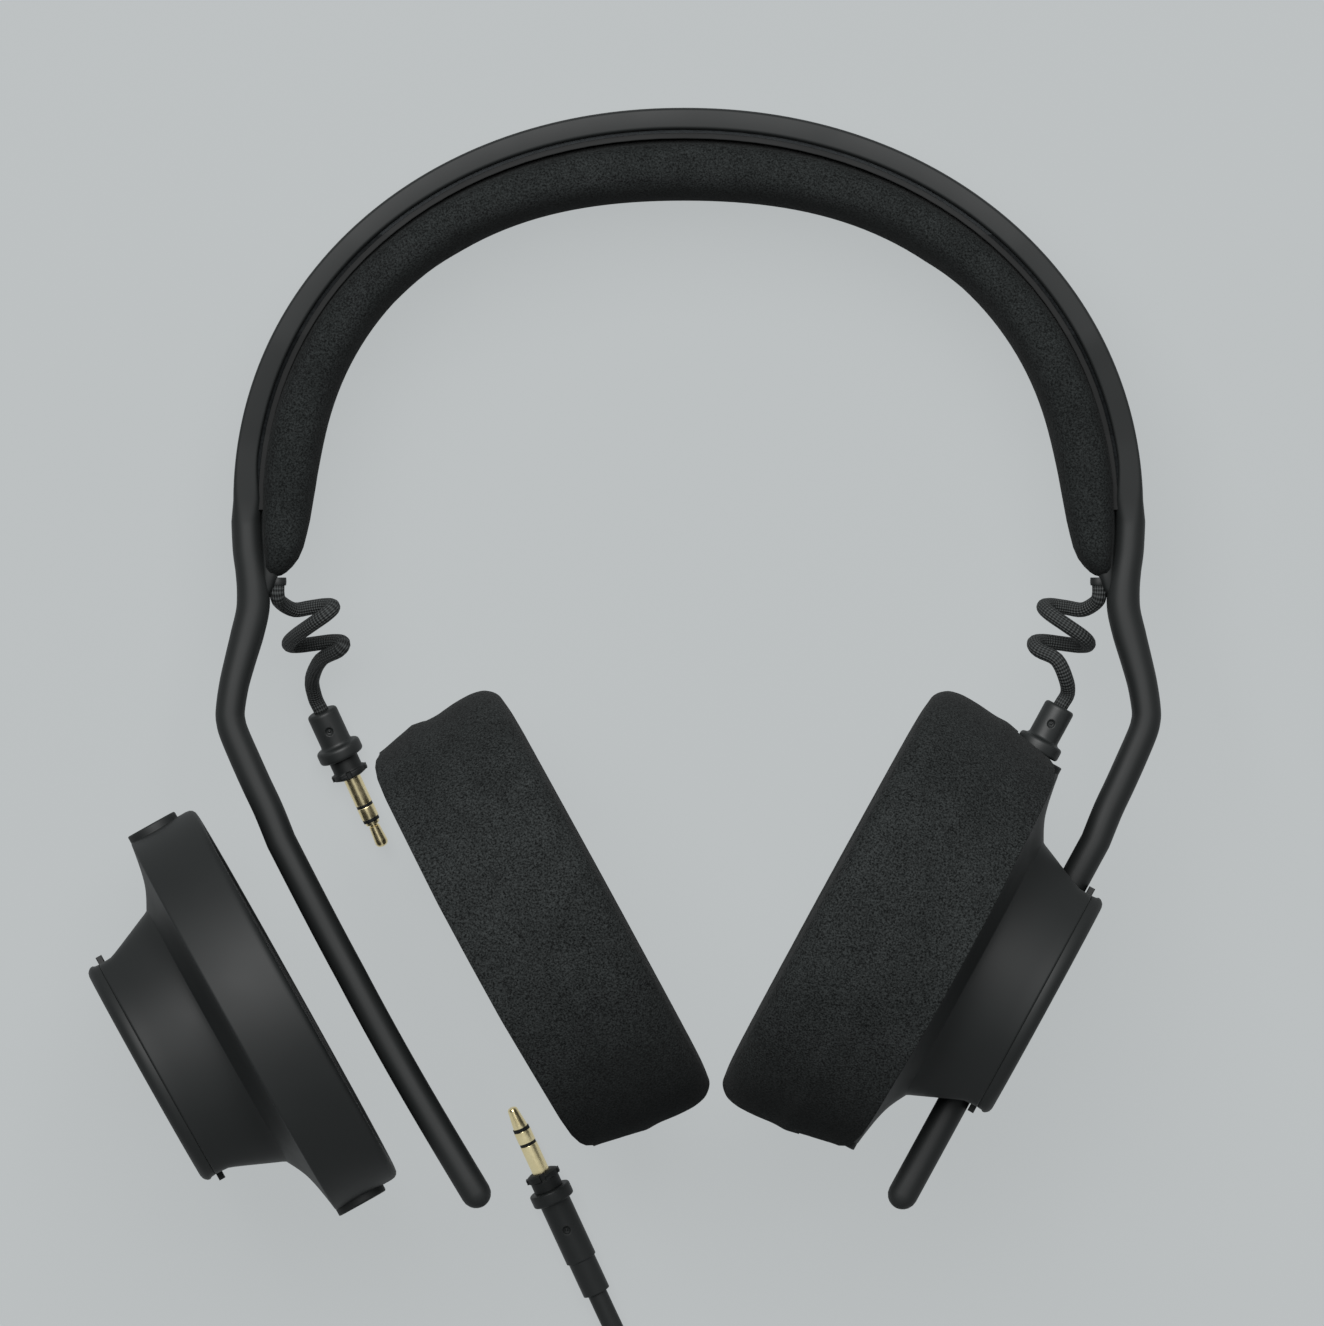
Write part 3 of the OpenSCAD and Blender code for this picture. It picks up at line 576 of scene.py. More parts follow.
def microfibre(name, dark, light):
    """Brushed microfibre suede.

    Its fibres stand up in tufts, here 0.4 mm so that they show, and give a dull speckled face
    with faint darker patches where the nap lies another way.
    """
    material, tree, shader = new_material(name)
    specks = noise(tree, 0.38, 2.5, 0.7)
    fibres = noise(tree, 0.18, 2.0, 0.6)
    patches = noise(tree, 9.0, 2.0)
    height = add(
        tree, "ShaderNodeMath", {"operation": "ADD"}, i0=specks,
        i1=add(tree, "ShaderNodeMath", {"operation": "MULTIPLY"}, i0=fibres, i1=0.5).outputs[0],
    )
    bump = add(tree, "ShaderNodeBump", Strength=0.7, Distance=0.00012, Height=height.outputs[0])
    base = ramp(tree, specks, 0.36, 0.66, dark, light)
    shade = add(
        tree, "ShaderNodeMapRange", Value=patches, From_Min=0.3, From_Max=0.7,
        To_Min=0.85, To_Max=1.1,
    )
    tinted = add(
        tree, "ShaderNodeMix", {"data_type": "RGBA", "blend_type": "MULTIPLY"}, Factor=1.0
    )
    tree.links.new(base, tinted.inputs[6])
    grey = add(tree, "ShaderNodeCombineColor")
    for k in range(3):
        tree.links.new(shade.outputs["Result"], grey.inputs[k])
    tree.links.new(grey.outputs[0], tinted.inputs[7])
    set_inputs(
        tree, shader, Base_Color=tinted.outputs[2], Roughness=0.85, Sheen_Weight=0.02,
        Sheen_Roughness=0.5, Specular_IOR_Level=0.05,
        Normal=bump.outputs["Normal"],
    )
    return material


def braid(name, dark, light, strands=8, rib=0.67):
    """Polyester yarn braided over the cord, from the tube's own u and v.

    Two sets of strands cross, so the cord shows as fine ribs, rib mm apart, that break up its
    shine. Its colour is painted shade: dark in the dips between the strands and light on their
    raised crossings. v is in mm.
    """
    material, tree, shader = new_material(name)
    uv = add(tree, "ShaderNodeTexCoord").outputs["UV"]
    split = add(tree, "ShaderNodeSeparateXYZ", Vector=uv)
    rate = 0.5 / rib

    def crossing(sign):
        along = add(
            tree, "ShaderNodeMath", {"operation": "MULTIPLY"}, i0=split.outputs[1], i1=sign * rate
        ).outputs[0]
        value = split.outputs[0]
        for operation, other in [("MULTIPLY", strands), ("ADD", along), ("MULTIPLY", 2 * math.pi)]:
            value = add(
                tree, "ShaderNodeMath", {"operation": operation}, i0=value, i1=other
            ).outputs[0]
        return add(tree, "ShaderNodeMath", {"operation": "SINE"}, i0=value).outputs[0]

    woven = add(tree, "ShaderNodeMath", {"operation": "MULTIPLY"}, i0=crossing(1), i1=crossing(-1))
    strand_height_shade = add(tree, "ShaderNodeMapRange", Value=woven.outputs[0], From_Min=-1.0)
    bump = add(tree, "ShaderNodeBump", Strength=0.8, Distance=0.0002, Height=woven.outputs[0])
    # Painted shade: the base colour follows the strands' height, darker where they dip.
    set_inputs(
        tree, shader, Base_Color=ramp(tree, strand_height_shade.outputs[0], 0.2, 0.85, dark, light),
        Roughness=0.65, Specular_IOR_Level=0.3, Normal=bump.outputs["Normal"],
    )
    return material


def plated_gold(name):
    """Gold flash plated on turned brass.

    It is bright and pale yellow, and faint handling smears make its shine uneven.
    """
    material, tree, shader = new_material(name)
    smears = noise(tree, 2.5, 3.0)
    fine = noise(tree, 0.12, 1.0)
    bump = add(tree, "ShaderNodeBump", Strength=0.15, Distance=0.00001, Height=fine)
    rough = add(
        tree, "ShaderNodeMapRange", Value=smears, From_Min=0.3, From_Max=0.7,
        To_Min=0.26, To_Max=0.38,
    )
    set_inputs(
        tree, shader, Base_Color=ramp(tree, smears, 0.3, 0.7, "#f6e4b2", "#fff0c2"),
        Metallic=1.0, Roughness=rough.outputs["Result"], Normal=bump.outputs["Normal"],
    )
    return material


def brushed_metal(name, dark, light):
    """Rolled or plated steel.

    Its fine uneven polish gives a soft metallic glint instead of a mirror.
    """
    material, tree, shader = new_material(name)
    marks = noise(tree, 0.6, 3.0)
    rough = add(tree, "ShaderNodeMapRange", Value=marks, To_Min=0.28, To_Max=0.42)
    set_inputs(
        tree, shader, Base_Color=ramp(tree, marks, 0.3, 0.7, dark, light), Metallic=1.0,
        Roughness=rough.outputs["Result"],
    )
    return material


def thin_film(name):
    """Thin PET film, pressed to shape: milky, smooth and faintly uneven."""
    material, tree, shader = new_material(name)
    cloud = noise(tree, 4.0, 2.0)
    set_inputs(
        tree, shader, Base_Color=ramp(tree, cloud, 0.3, 0.7, "#b3ac98", "#c6c0ae"), Roughness=0.35
    )
    return material


shell_black = moulded_plastic("shell plastic", "#121414", "#161818", 0.6)
plug_black = moulded_plastic("plug plastic", "#1b1d1d", "#1f2121", 0.48, 0.008)
inner_black = moulded_plastic("inner plastic", "#0e1010", "#131515", 0.55)
socket_black = moulded_plastic("socket plastic", "#202323", "#262929", 0.5)
cable_black = moulded_plastic("cable jacket", "#191b1b", "#1e2020", 0.5, 0.02)
pad_fabric = microfibre("pad microfibre", "#090a0a", "#323535")
band_fabric = microfibre("band microfibre", "#0c0d0d", "#2b2e2e")
lining_cloth = microfibre("lining cloth", "#101212", "#282a2a")
curl_braid = braid("cord braid", "#0a0b0b", "#3a3d3d")
contact_gold = plated_gold("contact gold")
# Painted shade: the backing board, black plastic made darker still, and the spring steel are
# coloured near black, darker than they are, to stand for the shade in the groove between the band's
# shell and its pad.
backing_black_painted_shade = moulded_plastic("backing board", "#060707", "#090a0a", 0.7)
spring_steel_painted_shade = brushed_metal("spring steel", "#18191a", "#202223")
magnet_steel = brushed_metal("magnet steel", "#8a8c8e", "#a3a5a7")
diaphragm_film = thin_film("diaphragm film")

CAD_MATERIALS = {
    "band_spring": spring_steel_painted_shade,
    "band_backing": backing_black_painted_shade,
    "arm_clip": inner_black,
    "baffle_screws": magnet_steel,
    "baffle": inner_black,
    "driver_frame": inner_black,
    "driver_magnet": magnet_steel,
    "diaphragm": diaphragm_film,
    "felt": lining_cloth,
    "pad_ring": inner_black,
    "pad_cloth": lining_cloth,
    "cable_tie": inner_black,
}


def dress_nodes():
    """Gives the CAD nodes that stay in view their materials."""
    for name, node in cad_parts.items():
        for ending, material in CAD_MATERIALS.items():
            if name.endswith(ending):
                node.data.materials.clear()
                node.data.materials.append(material)


dress_nodes()

# ---------------------------------------------------------------- cords


def curl_point(turn):
    """Right cord's helix at a turn in degrees."""
    angle = math.radians(turn)
    return Vector((
        CURL_START[0] - CURL_RADIUS * math.cos(angle) - CURL_DRIFT * (turn / 360) ** 2,
        CURL_START[1] - CURL_PITCH * turn / 360 + CURL_LEAN * (math.cos(angle) - 1),
        CURL_DEPTH * math.sin(angle),
    ))


def curl_route(end, lead):
    """From the gland, through the curls, to the top of a plug, on the right side."""
    gland_x, gland_y = GLAND_PLACE
    helix = [curl_point(45 * k) for k in range(-3, 10)]
    free = [Vector((81.4, -18.6, -1.3)), *helix]
    # Each of these has its own share of the way down to the plug, so that the cord levels out.
    settling = [(Vector((73.6, -29.9, 4.3)), 0.72), (Vector((75.5, -33.8, 2.8)), 0.95)]
    route = [Vector((BAND_MIDDLE + gland_x, gland_y + step, 0)) for step in (0.9, -2.4)]
    for point in free:
        s = (gland_y - point.y) / (gland_y - end.y)
        route.append(point + Vector((BAND_MIDDLE, 0, s * s * (3 - 2 * s) * end.z)))
    route += [point + Vector((BAND_MIDDLE, 0, share * end.z)) for point, share in settling]
    return route + [end - 3 * lead, end - 0.4 * lead, end + 2 * lead]


def mirrored(point):
    return Vector((2 * BAND_MIDDLE - point.x, point.y, point.z))


def curly_cord(side, points):
    route = [LAY @ p for p in smooth_route(points)]
    cover = tube([p * 1000 for p in route], CURL_CORD_DIAMETER / 2)
    cord = make_object(f"{side}_curly_cord_braid", cover, curl_braid)
    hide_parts(f"{side}_curly_cord")
    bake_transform(cord)
    return cord


def by_right_cup(y, depth):
    """A point of the headset's plane from the right speaker's own y and depth."""
    return Vector((
        RIGHT_CUP[0] + depth * math.cos(ARM_TILT) + y * math.sin(ARM_TILT),
        RIGHT_CUP[1] - depth * math.sin(ARM_TILT) + y * math.cos(ARM_TILT),
        0,
    ))


def right_cord_points():
    end = by_right_cup(JACK_MOUTH + SOCKET_GAP + COLLAR_LENGTH + BARREL_LENGTH, JACK_DEPTH)
    return curl_route(end, Vector((-math.sin(ARM_TILT), -math.cos(ARM_TILT), 0)))


def left_cord_points():
    to_plane = LAY.inverted() @ MM
    end = mirrored(to_plane @ on_table(LEFT_PLUG_TOP, COLLAR_RADIUS))
    foot = mirrored(to_plane @ on_table(LEFT_PLUG_TIP, COLLAR_RADIUS))
    return [mirrored(p) for p in curl_route(end, (foot - end).normalized())]


def coil_point(turn):
    """The stored coil turns left; it spirals in, climbs a layer and spirals out."""
    middle = COIL_TURNS / 2
    radius = COIL_OUTER - COIL_PITCH * (middle - abs(turn - middle))
    climb = max(0.0, min(1.0, (turn - middle) / 0.5 + 0.5))
    angle = math.pi + 2 * math.pi * turn
    return on_plan(
        COIL_CENTRE[0] + radius * math.cos(angle),
        COIL_CENTRE[1] + radius * math.sin(angle),
        COIL_LOW + COIL_PITCH * climb,
    )


COIL_RINGS = 24
COIL_LAST = coil_point(COIL_TURNS)
FAR_START = COIL_LAST + Vector((26, -1.6, 0))


def cable_points():
    start = on_table(MAIN_PLUG_END, MAIN_COLLAR_RADIUS)
    way = (start - on_table(MAIN_PLUG_TIP, MAIN_COLLAR_RADIUS)).normalized()
    lead = [
        start - 2.6 * way, start + 4 * way, start + 9 * way + Vector((0, 0, -0.2)),
        on_plan(-12.6, -180, 3.7), on_plan(-13, -190, 3.4), on_plan(-15.2, -200, 3.2),
    ]
    coil = [coil_point(k / COIL_RINGS) for k in range(int(COIL_TURNS * COIL_RINGS) + 1)]
    tail = [
        COIL_LAST + Vector(step)
        for step in ((6, 0.1, -0.6), (12, -0.3, -2.2), (18, -1.1, -3.8))
    ]
    end = [
        Vector((FAR_START.x - 3, FAR_START.y - 0.1, BARREL_RADIUS)),
        Vector((FAR_START.x + 2.8, FAR_START.y, BARREL_RADIUS)),
    ]
    return lead + coil + tail + end


def main_cable(pieces):
    route = smooth_route(cable_points(), 3)
    cable = make_object("main_cable_jacket", tube(route, CABLE_DIAMETER / 2), cable_black)
    settle(cable, "main_cable", "cord_jacket", "main_cable")


# ---------------------------------------------------------------- plugs


SIDE_TIP = [
    (0, 0), (0.45, 0.03), (0.85, 0.15), (1.15, 0.45), (1.3, 0.95), (1.28, 1.5), (1.06, 4.5),
    (0.9, 4.62), (0.9, 4.95), (1.4, 5.05, 0.08), (1.5, TIP_LENGTH, 0.04), (0, TIP_LENGTH),
]
MAIN_TIP = [
    (0, 0), (0.4, 0.03), (0.75, 0.15), (0.98, 0.4), (1.05, 0.8), (1.5, 4.3, 0.2),
    (1.5, MAIN_TIP_LENGTH, 0.04), (0, MAIN_TIP_LENGTH),
]


def contact_profiles(tip, tip_length):
    """Tip, ring and sleeve of a plug, each its own closed outline."""
    r = PLUG_RADIUS
    ring_from = tip_length + RING_GAP
    ring_to = ring_from + RING_LENGTH
    sleeve_from = ring_to + SLEEVE_GAP
    sleeve_to = sleeve_from + SLEEVE_LENGTH
    return [
        fillet(tip),
        fillet([(0, ring_from), (r, ring_from, 0.12), (r, ring_to, 0.12), (0, ring_to)]),
        fillet([(0, sleeve_from), (r, sleeve_from, 0.12), (r, sleeve_to), (0, sleeve_to)]),
    ]


def insulator_profiles(tip_length):
    """Black rings between the contacts."""
    r = PLUG_RADIUS - 0.06
    rings = [(tip_length, RING_GAP), (tip_length + RING_GAP + RING_LENGTH, SLEEVE_GAP)]
    return [
        [(0, z - 0.1), (r, z - 0.1), (r, z + gap + 0.1), (0, z + gap + 0.1)] for z, gap in rings
    ]


def contacts(prefix, place, body, tip, tip_length):
    gold = joined([lathe(p, 64) for p in contact_profiles(tip, tip_length)])
    piece = make_object(f"{prefix}_contacts_turned", gold, contact_gold, place, 40)
    settle(piece, body, "gold", f"{prefix}_contacts")
    rings = joined([lathe(p, 64) for p in insulator_profiles(tip_length)])
    black = make_object(f"{prefix}_insulator_rings", rings, inner_black, place, 40)
    settle(black, body, "inner_black", f"{prefix}_insulators")
    return [piece, black]


def tail(prefix, place, body, start, length, lip):
    """Neck and square lip of the quarter-turn lock, with its ears and key notch."""
    solid = lathe(fillet([
        (0, start), (2.5, start, 0.08), (lip, start + 0.4, 0.08), (lip, start + 1.45, 0.08),
        (3.0, start + 1.6, 0.1), (3.0, start + length), (0, start + length),
    ]), 96)
    ears = box_mesh((-lip - 0.22, -0.9, start + 0.45), (lip + 0.22, 0.9, start + 1.4))
    notch = box_mesh((-0.5, lip - 0.75, start - 1), (0.5, lip + 1, start + 1.6))
    side = box_mesh((-0.5, lip - 0.5, start + 0.8), (1.9, lip + 1, start + 1.6))
    bm = combined(solid, [("UNION", ears), ("DIFFERENCE", notch), ("DIFFERENCE", side)])
    piece = make_object(f"{prefix}_tail_lock", bm, inner_black, place)
    return settle(piece, body, "inner_black", f"{prefix}_tail")


def barrel(prefix, place, body, start, profile, dimples, cord_radius):
    """A grip turned from (radius, length) points, with round dimples and the cord's mouth."""
    solid = lathe([Vector((r, start + z)) for r, z in fillet(profile, 5)], 128)
    top = start + profile[-1][1]
    mouth = lathe([
        Vector((0, top - 2.5)), Vector((cord_radius + 0.03, top - 2.5)),
        Vector((cord_radius + 0.03, top + 1)), Vector((0, top + 1)),
    ], 64)
    cuts = [("DIFFERENCE", mouth)]
    for at, size, dot in dimples:
        for operation, radius in [("DIFFERENCE", size), ("UNION", dot)]:
            ball = bmesh.new()
            bmesh.ops.create_uvsphere(ball, u_segments=32, v_segments=16, radius=radius)
            out = BARREL_RADIUS + (0.35 if operation == "DIFFERENCE" else -0.55) * size
            ball.transform(Matrix.Translation((0, out, start + at)))
            cuts.append((operation, ball))
    piece = make_object(f"{prefix}_barrel_grip", combined(solid, cuts), plug_black, place)
    return settle(piece, body, "shell", f"{prefix}_barrel")


def side_plug(side, place, body):
    prefix = f"{side}_plug"
    length = COLLAR_LENGTH + BARREL_LENGTH
    profile = [
        (0, 0), (COLLAR_RADIUS, 0, 0.7), (COLLAR_RADIUS, COLLAR_LENGTH - 0.1, 0.9),
        (BARREL_RADIUS, COLLAR_LENGTH + 0.1, 0.7), (BARREL_RADIUS, length, 0.8), (0, length),
    ]
    return [
        *contacts(prefix, place, body, SIDE_TIP, TIP_LENGTH),
        tail(prefix, place, body, CONTACT_LENGTH, TAIL_LENGTH, 3.5),
        barrel(
            prefix, place, body, CONTACT_LENGTH + TAIL_LENGTH, profile, [(6.3, 0.95, 0.3)],
            CURL_CORD_DIAMETER / 2,
        ),
    ]


def main_plug():
    length = COLLAR_LENGTH + MAIN_BARREL_LENGTH
    step = 15.85
    profile = [
        (0, 0), (MAIN_COLLAR_RADIUS, 0, 0.45), (MAIN_COLLAR_RADIUS, COLLAR_LENGTH - 0.1, 0.45),
        (BARREL_RADIUS, COLLAR_LENGTH, 0.2), (BARREL_RADIUS, step, 0.15), (2.8, step, 0.05),
        (2.8, length, 0.15), (0, length),
    ]
    return [
        *contacts("main_plug", MAIN_PLUG, "main_cable", MAIN_TIP, MAIN_TIP_LENGTH),
        tail("main_plug", MAIN_PLUG, "main_cable", MAIN_CONTACT_LENGTH, MAIN_TAIL_LENGTH, 3.3),
        barrel(
            "main_plug", MAIN_PLUG, "main_cable", MAIN_CONTACT_LENGTH + MAIN_TAIL_LENGTH, profile,
            [(8.7, 0.95, 0.32)], CABLE_DIAMETER / 2,
        ),
    ]


def far_plug():
    length = FAR_BARREL_LENGTH
    tip = Vector((FAR_START.x + MAIN_CONTACT_LENGTH + length, FAR_START.y, BARREL_RADIUS))
    place = plug_place(tip, Vector((FAR_START.x, FAR_START.y, BARREL_RADIUS)))
    radius = BARREL_RADIUS - 0.05
    profile = [
        (0, 0), (radius, 0, 0.4), (radius, 1.6, 0.1), (radius - 0.25, 1.7, 0.1),
        (radius - 0.25, 2.3, 0.1), (radius, 2.4, 0.1), (radius, length, 0.5), (0, length),
    ]
    return [
        *contacts("far_plug", place, "main_cable", MAIN_TIP, MAIN_TIP_LENGTH),
        barrel(
            "far_plug", place, "main_cable", MAIN_CONTACT_LENGTH + 0.02, profile, [],
            CABLE_DIAMETER / 2,
        ),
    ]


right_plug_pieces = side_plug("right", RIGHT_PLUG, "right_plug")
curly_cord("right", right_cord_points())
left_plug_pieces = side_plug("left", LEFT_PLUG, "left_plug")
curly_cord("left", left_cord_points())
main_cable([*main_plug(), *far_plug(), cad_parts["cable_tie"]])

# ---------------------------------------------------------------- headband


def arch_point(inset, turn):
    c, s = math.cos(turn), math.sin(turn)
    rise = abs(s) ** BAND_POWER
    side = (BAND_HALF_WIDTH - inset) * math.copysign(abs(c) ** BAND_POWER, c)
    return Vector((BAND_MIDDLE + side - BAND_LEAN * rise, (BAND_RISE - inset) * rise, 0))


def rounded_ring(half_thick, half_wide, power, count=72):
    """A superellipse as (sideways, forward) points."""
    out = []
    for k in range(count):
        c, s = math.cos(2 * math.pi * k / count), math.sin(2 * math.pi * k / count)
        out.append((
            half_thick * math.copysign(abs(c) ** (2 / power), c),
            half_wide * math.copysign(abs(s) ** (2 / power), s),
        ))
    return out


def arm_stations(bow, drift):
    """An arm from the band to its round tip: places, and how far each has closed."""
    down = Vector((-math.sin(ARM_TILT), -math.cos(ARM_TILT), 0))
    out = Vector((-down.y, down.x, 0))
    top = by_right_cup(34, CHANNEL_DEPTH) - Vector((BAND_MIDDLE, 0, 0))
    length = (top.y - ARM_END_HEIGHT - ARM_THICKNESS / 2) / math.cos(ARM_TILT)
    knots = [Vector((88.75, 3, 0))] + [Vector((x, y, 0)) for x, y in ARM_ROUTE] + [top]
    line = smooth_route(knots, 5)[5:-1]
    for k in range(25):
        aside = bow * math.sin(math.pi * k / 24) + drift * min(1.0, k / 9)
        line.append(top + down * length * k / 24 + out * aside)
    stations = [(p, 1.0) for p in line]
    half = ARM_THICKNESS / 2
    for angle in (20, 40, 55, 68, 78, 86):
        a = math.radians(angle)
        stations.append((line[-1] + down * half * math.sin(a), math.cos(a)))
    return [(p + Vector((BAND_MIDDLE, 0, 0)), closing) for p, closing in stations]


def band_frame():
    """Shell and both arms: one moulded strip, broad over the crown and a round bar below."""
    right = arm_stations(0, 0)
    left = [(mirrored(p), closing) for p, closing in arm_stations(LEFT_ARM_BOW, LEFT_ARM_DRIFT)]
    arch = [(arch_point(BAND_THICKNESS / 2, math.pi * k / 144), 1.0) for k in range(1, 144)]
    stations = list(reversed(right)) + arch + left
    ways = tangents([p for p, closing in stations])
    rings = []
    for (point, closing), way in zip(stations, ways):
        outward = Vector((way.y, -way.x, 0))
        band = min(1.0, max(0.0, (point.y + 4) / 16))
        band = band * band * (3 - 2 * band)
        thick = (lookup(ARM_WIDTHS, point.y) * (1 - band) + BAND_THICKNESS * band) / 2
        wide = ARM_DEPTH / 2
        if point.y > 0:
            wide = max(wide, lookup(SHELL_TAPER, point.y + 1.5) * BAND_DEPTH / 2)
            point = point - outward * (thick - BAND_THICKNESS / 2)
        ring = rounded_ring(thick * closing, wide * (0.4 + 0.6 * closing), 2.4 + 9.6 * band)
        rings.append([point + outward * side + Vector((0, 0, front)) for side, front in ring])
    piece = make_object("band_frame", skin(rings), shell_black, LAY, 50)
    return settle(piece, "headband", "shell", "band_shell", "left_arm", "right_arm")


def cord_tongue(side):
    """The tongue beside an arm that the curly cord comes out of."""
    stations = [
        (2.0, 84.9, 0.5, 3.0), (-5.0, 84.8, 0.7, 3.3), (-10.0, 84.2, 1.2, 3.2),
        (-13.0, 83.75, 1.75, 2.9), (-15.5, 84.2, 1.35, 2.5), (-17.5, 84.75, 0.85, 1.8),
        (-18.1, 84.95, 0.3, 0.8),
    ]
    rings = []
    for height, x, thick, wide in stations:
        ring = rounded_ring(thick, wide, 3.0, 32)
        rings.append([
            Vector((BAND_MIDDLE + side * (x + across), height, front)) for across, front in ring
        ])
    cord = CURL_CORD_DIAMETER / 2
    collar = lathe(fillet([
        (cord + 0.03, 0), (cord + 0.3, 0, 0.1), (cord + 0.35, 1.0, 0.3), (cord + 0.25, 1.6, 0.2),
        (cord + 0.03, 1.6), (cord + 0.03, 0),
    ]), 48)
    bmesh.ops.remove_doubles(collar, verts=collar.verts, dist=0.001)
    x, y = GLAND_PLACE
    seat = Matrix.Translation((BAND_MIDDLE + side * x, y + 1.2, 0))
    collar.transform(seat @ Matrix.Rotation(math.pi / 2, 4, "X"))
    name = "right" if side > 0 else "left"
    piece = make_object(f"{name}_cord_tongue", joined([skin(rings), collar]), inner_black, LAY, 40)
    return settle(piece, "headband", "inner_black", f"{name}_cord_gland")


def pad_inner(turn):
    """Thickest under the crown and thinnest over the temples."""
    swell = 0.88 + 0.037 * math.cos(4 * turn) + 0.083 * abs(math.sin(turn)) ** 14
    swell -= 0.07 * math.exp(-((math.sin(turn) / 0.12) ** 2))
    return arch_point(PAD_INSET + BAND_PAD_THICKNESS * swell, turn)


def pad_stations():
    """Headband pad: middle, outward way, half thickness and half width at each station."""
    tips = [
        (-13.45, 82.3, 0.25, 0.5), (-13.25, 82.25, 1.0, 2.0), (-12.6, 82.1, 1.9, 3.6),
        (-11.4, 81.7, 2.75, 4.9), (-9.8, 81.15, 3.4, 5.8), (-7.5, 80.75, 4.0, 6.5),
        (-5, 80.5, 4.4, 6.9), (-2.2, 80.2, 4.75, 7.2),
    ]
    right = [(Vector((BAND_MIDDLE + x, y, 0)), Vector((1, 0, 0)), t, w) for y, x, t, w in tips]
    left = [(mirrored(p), -out, t, w) for p, out, t, w in reversed(right)]
    steps = 96
    arch = []
    for k in range(2, steps - 1):
        turn = math.pi * k / steps
        outer, inner = arch_point(PAD_INSET - 0.35, turn), pad_inner(turn)
        wide = lookup(PAD_TAPER, outer.y) * BAND_DEPTH / 2
        across = outer - inner
        arch.append(((outer + inner) / 2, across.normalized(), across.length / 2, wide))
    return right + arch + left


def band_pad():
    """Microfibre pad: square against its plate, and rounded over towards the head."""
    rings = []
    for middle, outward, thick, wide in pad_stations():
        ring = []
        for k in range(40):
            angle = 2 * math.pi * k / 40
            c, s = math.cos(angle), math.sin(angle)
            power = 3.4 if c > 0 else 2.25
            side = thick * math.copysign(abs(c) ** (2 / power), c)
            front = wide * math.copysign(abs(s) ** (2 / power), s)
            ring.append(middle + outward * side + Vector((0, 0, front)))
        rings.append(ring)
    bm = skin(rings)
    puff(bm, 0.2, lambda p: 1.0)
    piece = make_object("band_pad_fabric", bm, band_fabric, LAY, 60)
    settle(piece, "headband", "soft_fabric", "band_pad")
    return piece


band_frame()
cord_tongue(1)
cord_tongue(-1)
band_pad()

# ---------------------------------------------------------------- speakers


def turned_to_y(bm, sign, depth):
    """Turns a lathe's axis outwards along y, at a depth behind the speaker's front."""
    bm.transform(Matrix.Translation((0, 0, depth)) @ Matrix.Rotation(-sign * math.pi / 2, 4, "X"))
    return bm


def rim_body():
    """Rim with the recess for the baffle, and its wide soft slope up to the hump."""
    return lathe(fillet([
        (0, 13.9), (38.5, 13.9), (38.5, 0.0, 0.3), (RIM_RADIUS, 0.0, 2.0),
        (RIM_RADIUS, RIM_DEPTH, 0.5), (40.0, 14.7, 1.5), (36.0, 15.4, 2.0), (33.3, 16.1, 2.0),
        (31.2, 17.0, 1.5), (28.8, 18.3), (0, 18.3),
    ]), 256)


def lug(sign):
    """Round boss with a flat end, where a socket comes through the rim."""
    boss = lathe(fillet([
        (0, 38.6), (LUG_RADIUS, 38.6), (LUG_RADIUS, JACK_MOUTH, 0.5), (0, JACK_MOUTH),
    ]), 96)
    keep = box_mesh((-10, -60, -5), (10, 60, RIM_DEPTH - 0.02))
    return combined(turned_to_y(boss, sign, LUG_DEPTH), [("INTERSECT", keep)])


def hump(rows):
    """A round hump with two flat flanks, from (depth, radius, flank) rows."""
    rings = []
    for depth, radius, flank in rows:
        ring = []
        for k in range(240):
            c, s = math.cos(math.pi * (k + 0.5) / 120), math.sin(math.pi * (k + 0.5) / 120)
            reach = (radius ** -48 + (flank / abs(s)) ** -48) ** (-1 / 48)
            ring.append(Vector((reach * c, reach * s, depth)))
        rings.append(ring)
    return skin(rings)


def socket(side, end, sign, place, body):
    """A lock's socket: a wide seat for the tail and the bore for the contacts."""
    inner = JACK_END - JACK_LENGTH
    bm = lathe(fillet([
        (0, inner), (JACK_RADIUS, inner), (JACK_RADIUS, JACK_END, 0.15), (TAIL_BORE, JACK_END, 0.1),
        (TAIL_BORE, JACK_END - TAIL_SEAT), (JACK_BORE, JACK_END - TAIL_SEAT, 0.2),
        (JACK_BORE, inner + 0.6), (0, inner + 0.6),
    ]), 64)
    name = f"{side}_{end}_socket_tube"
    piece = make_object(name, turned_to_y(bm, sign, JACK_DEPTH), socket_black, place, 40)
    settle(piece, body, "inner_black", f"{side}_{end}_jack")


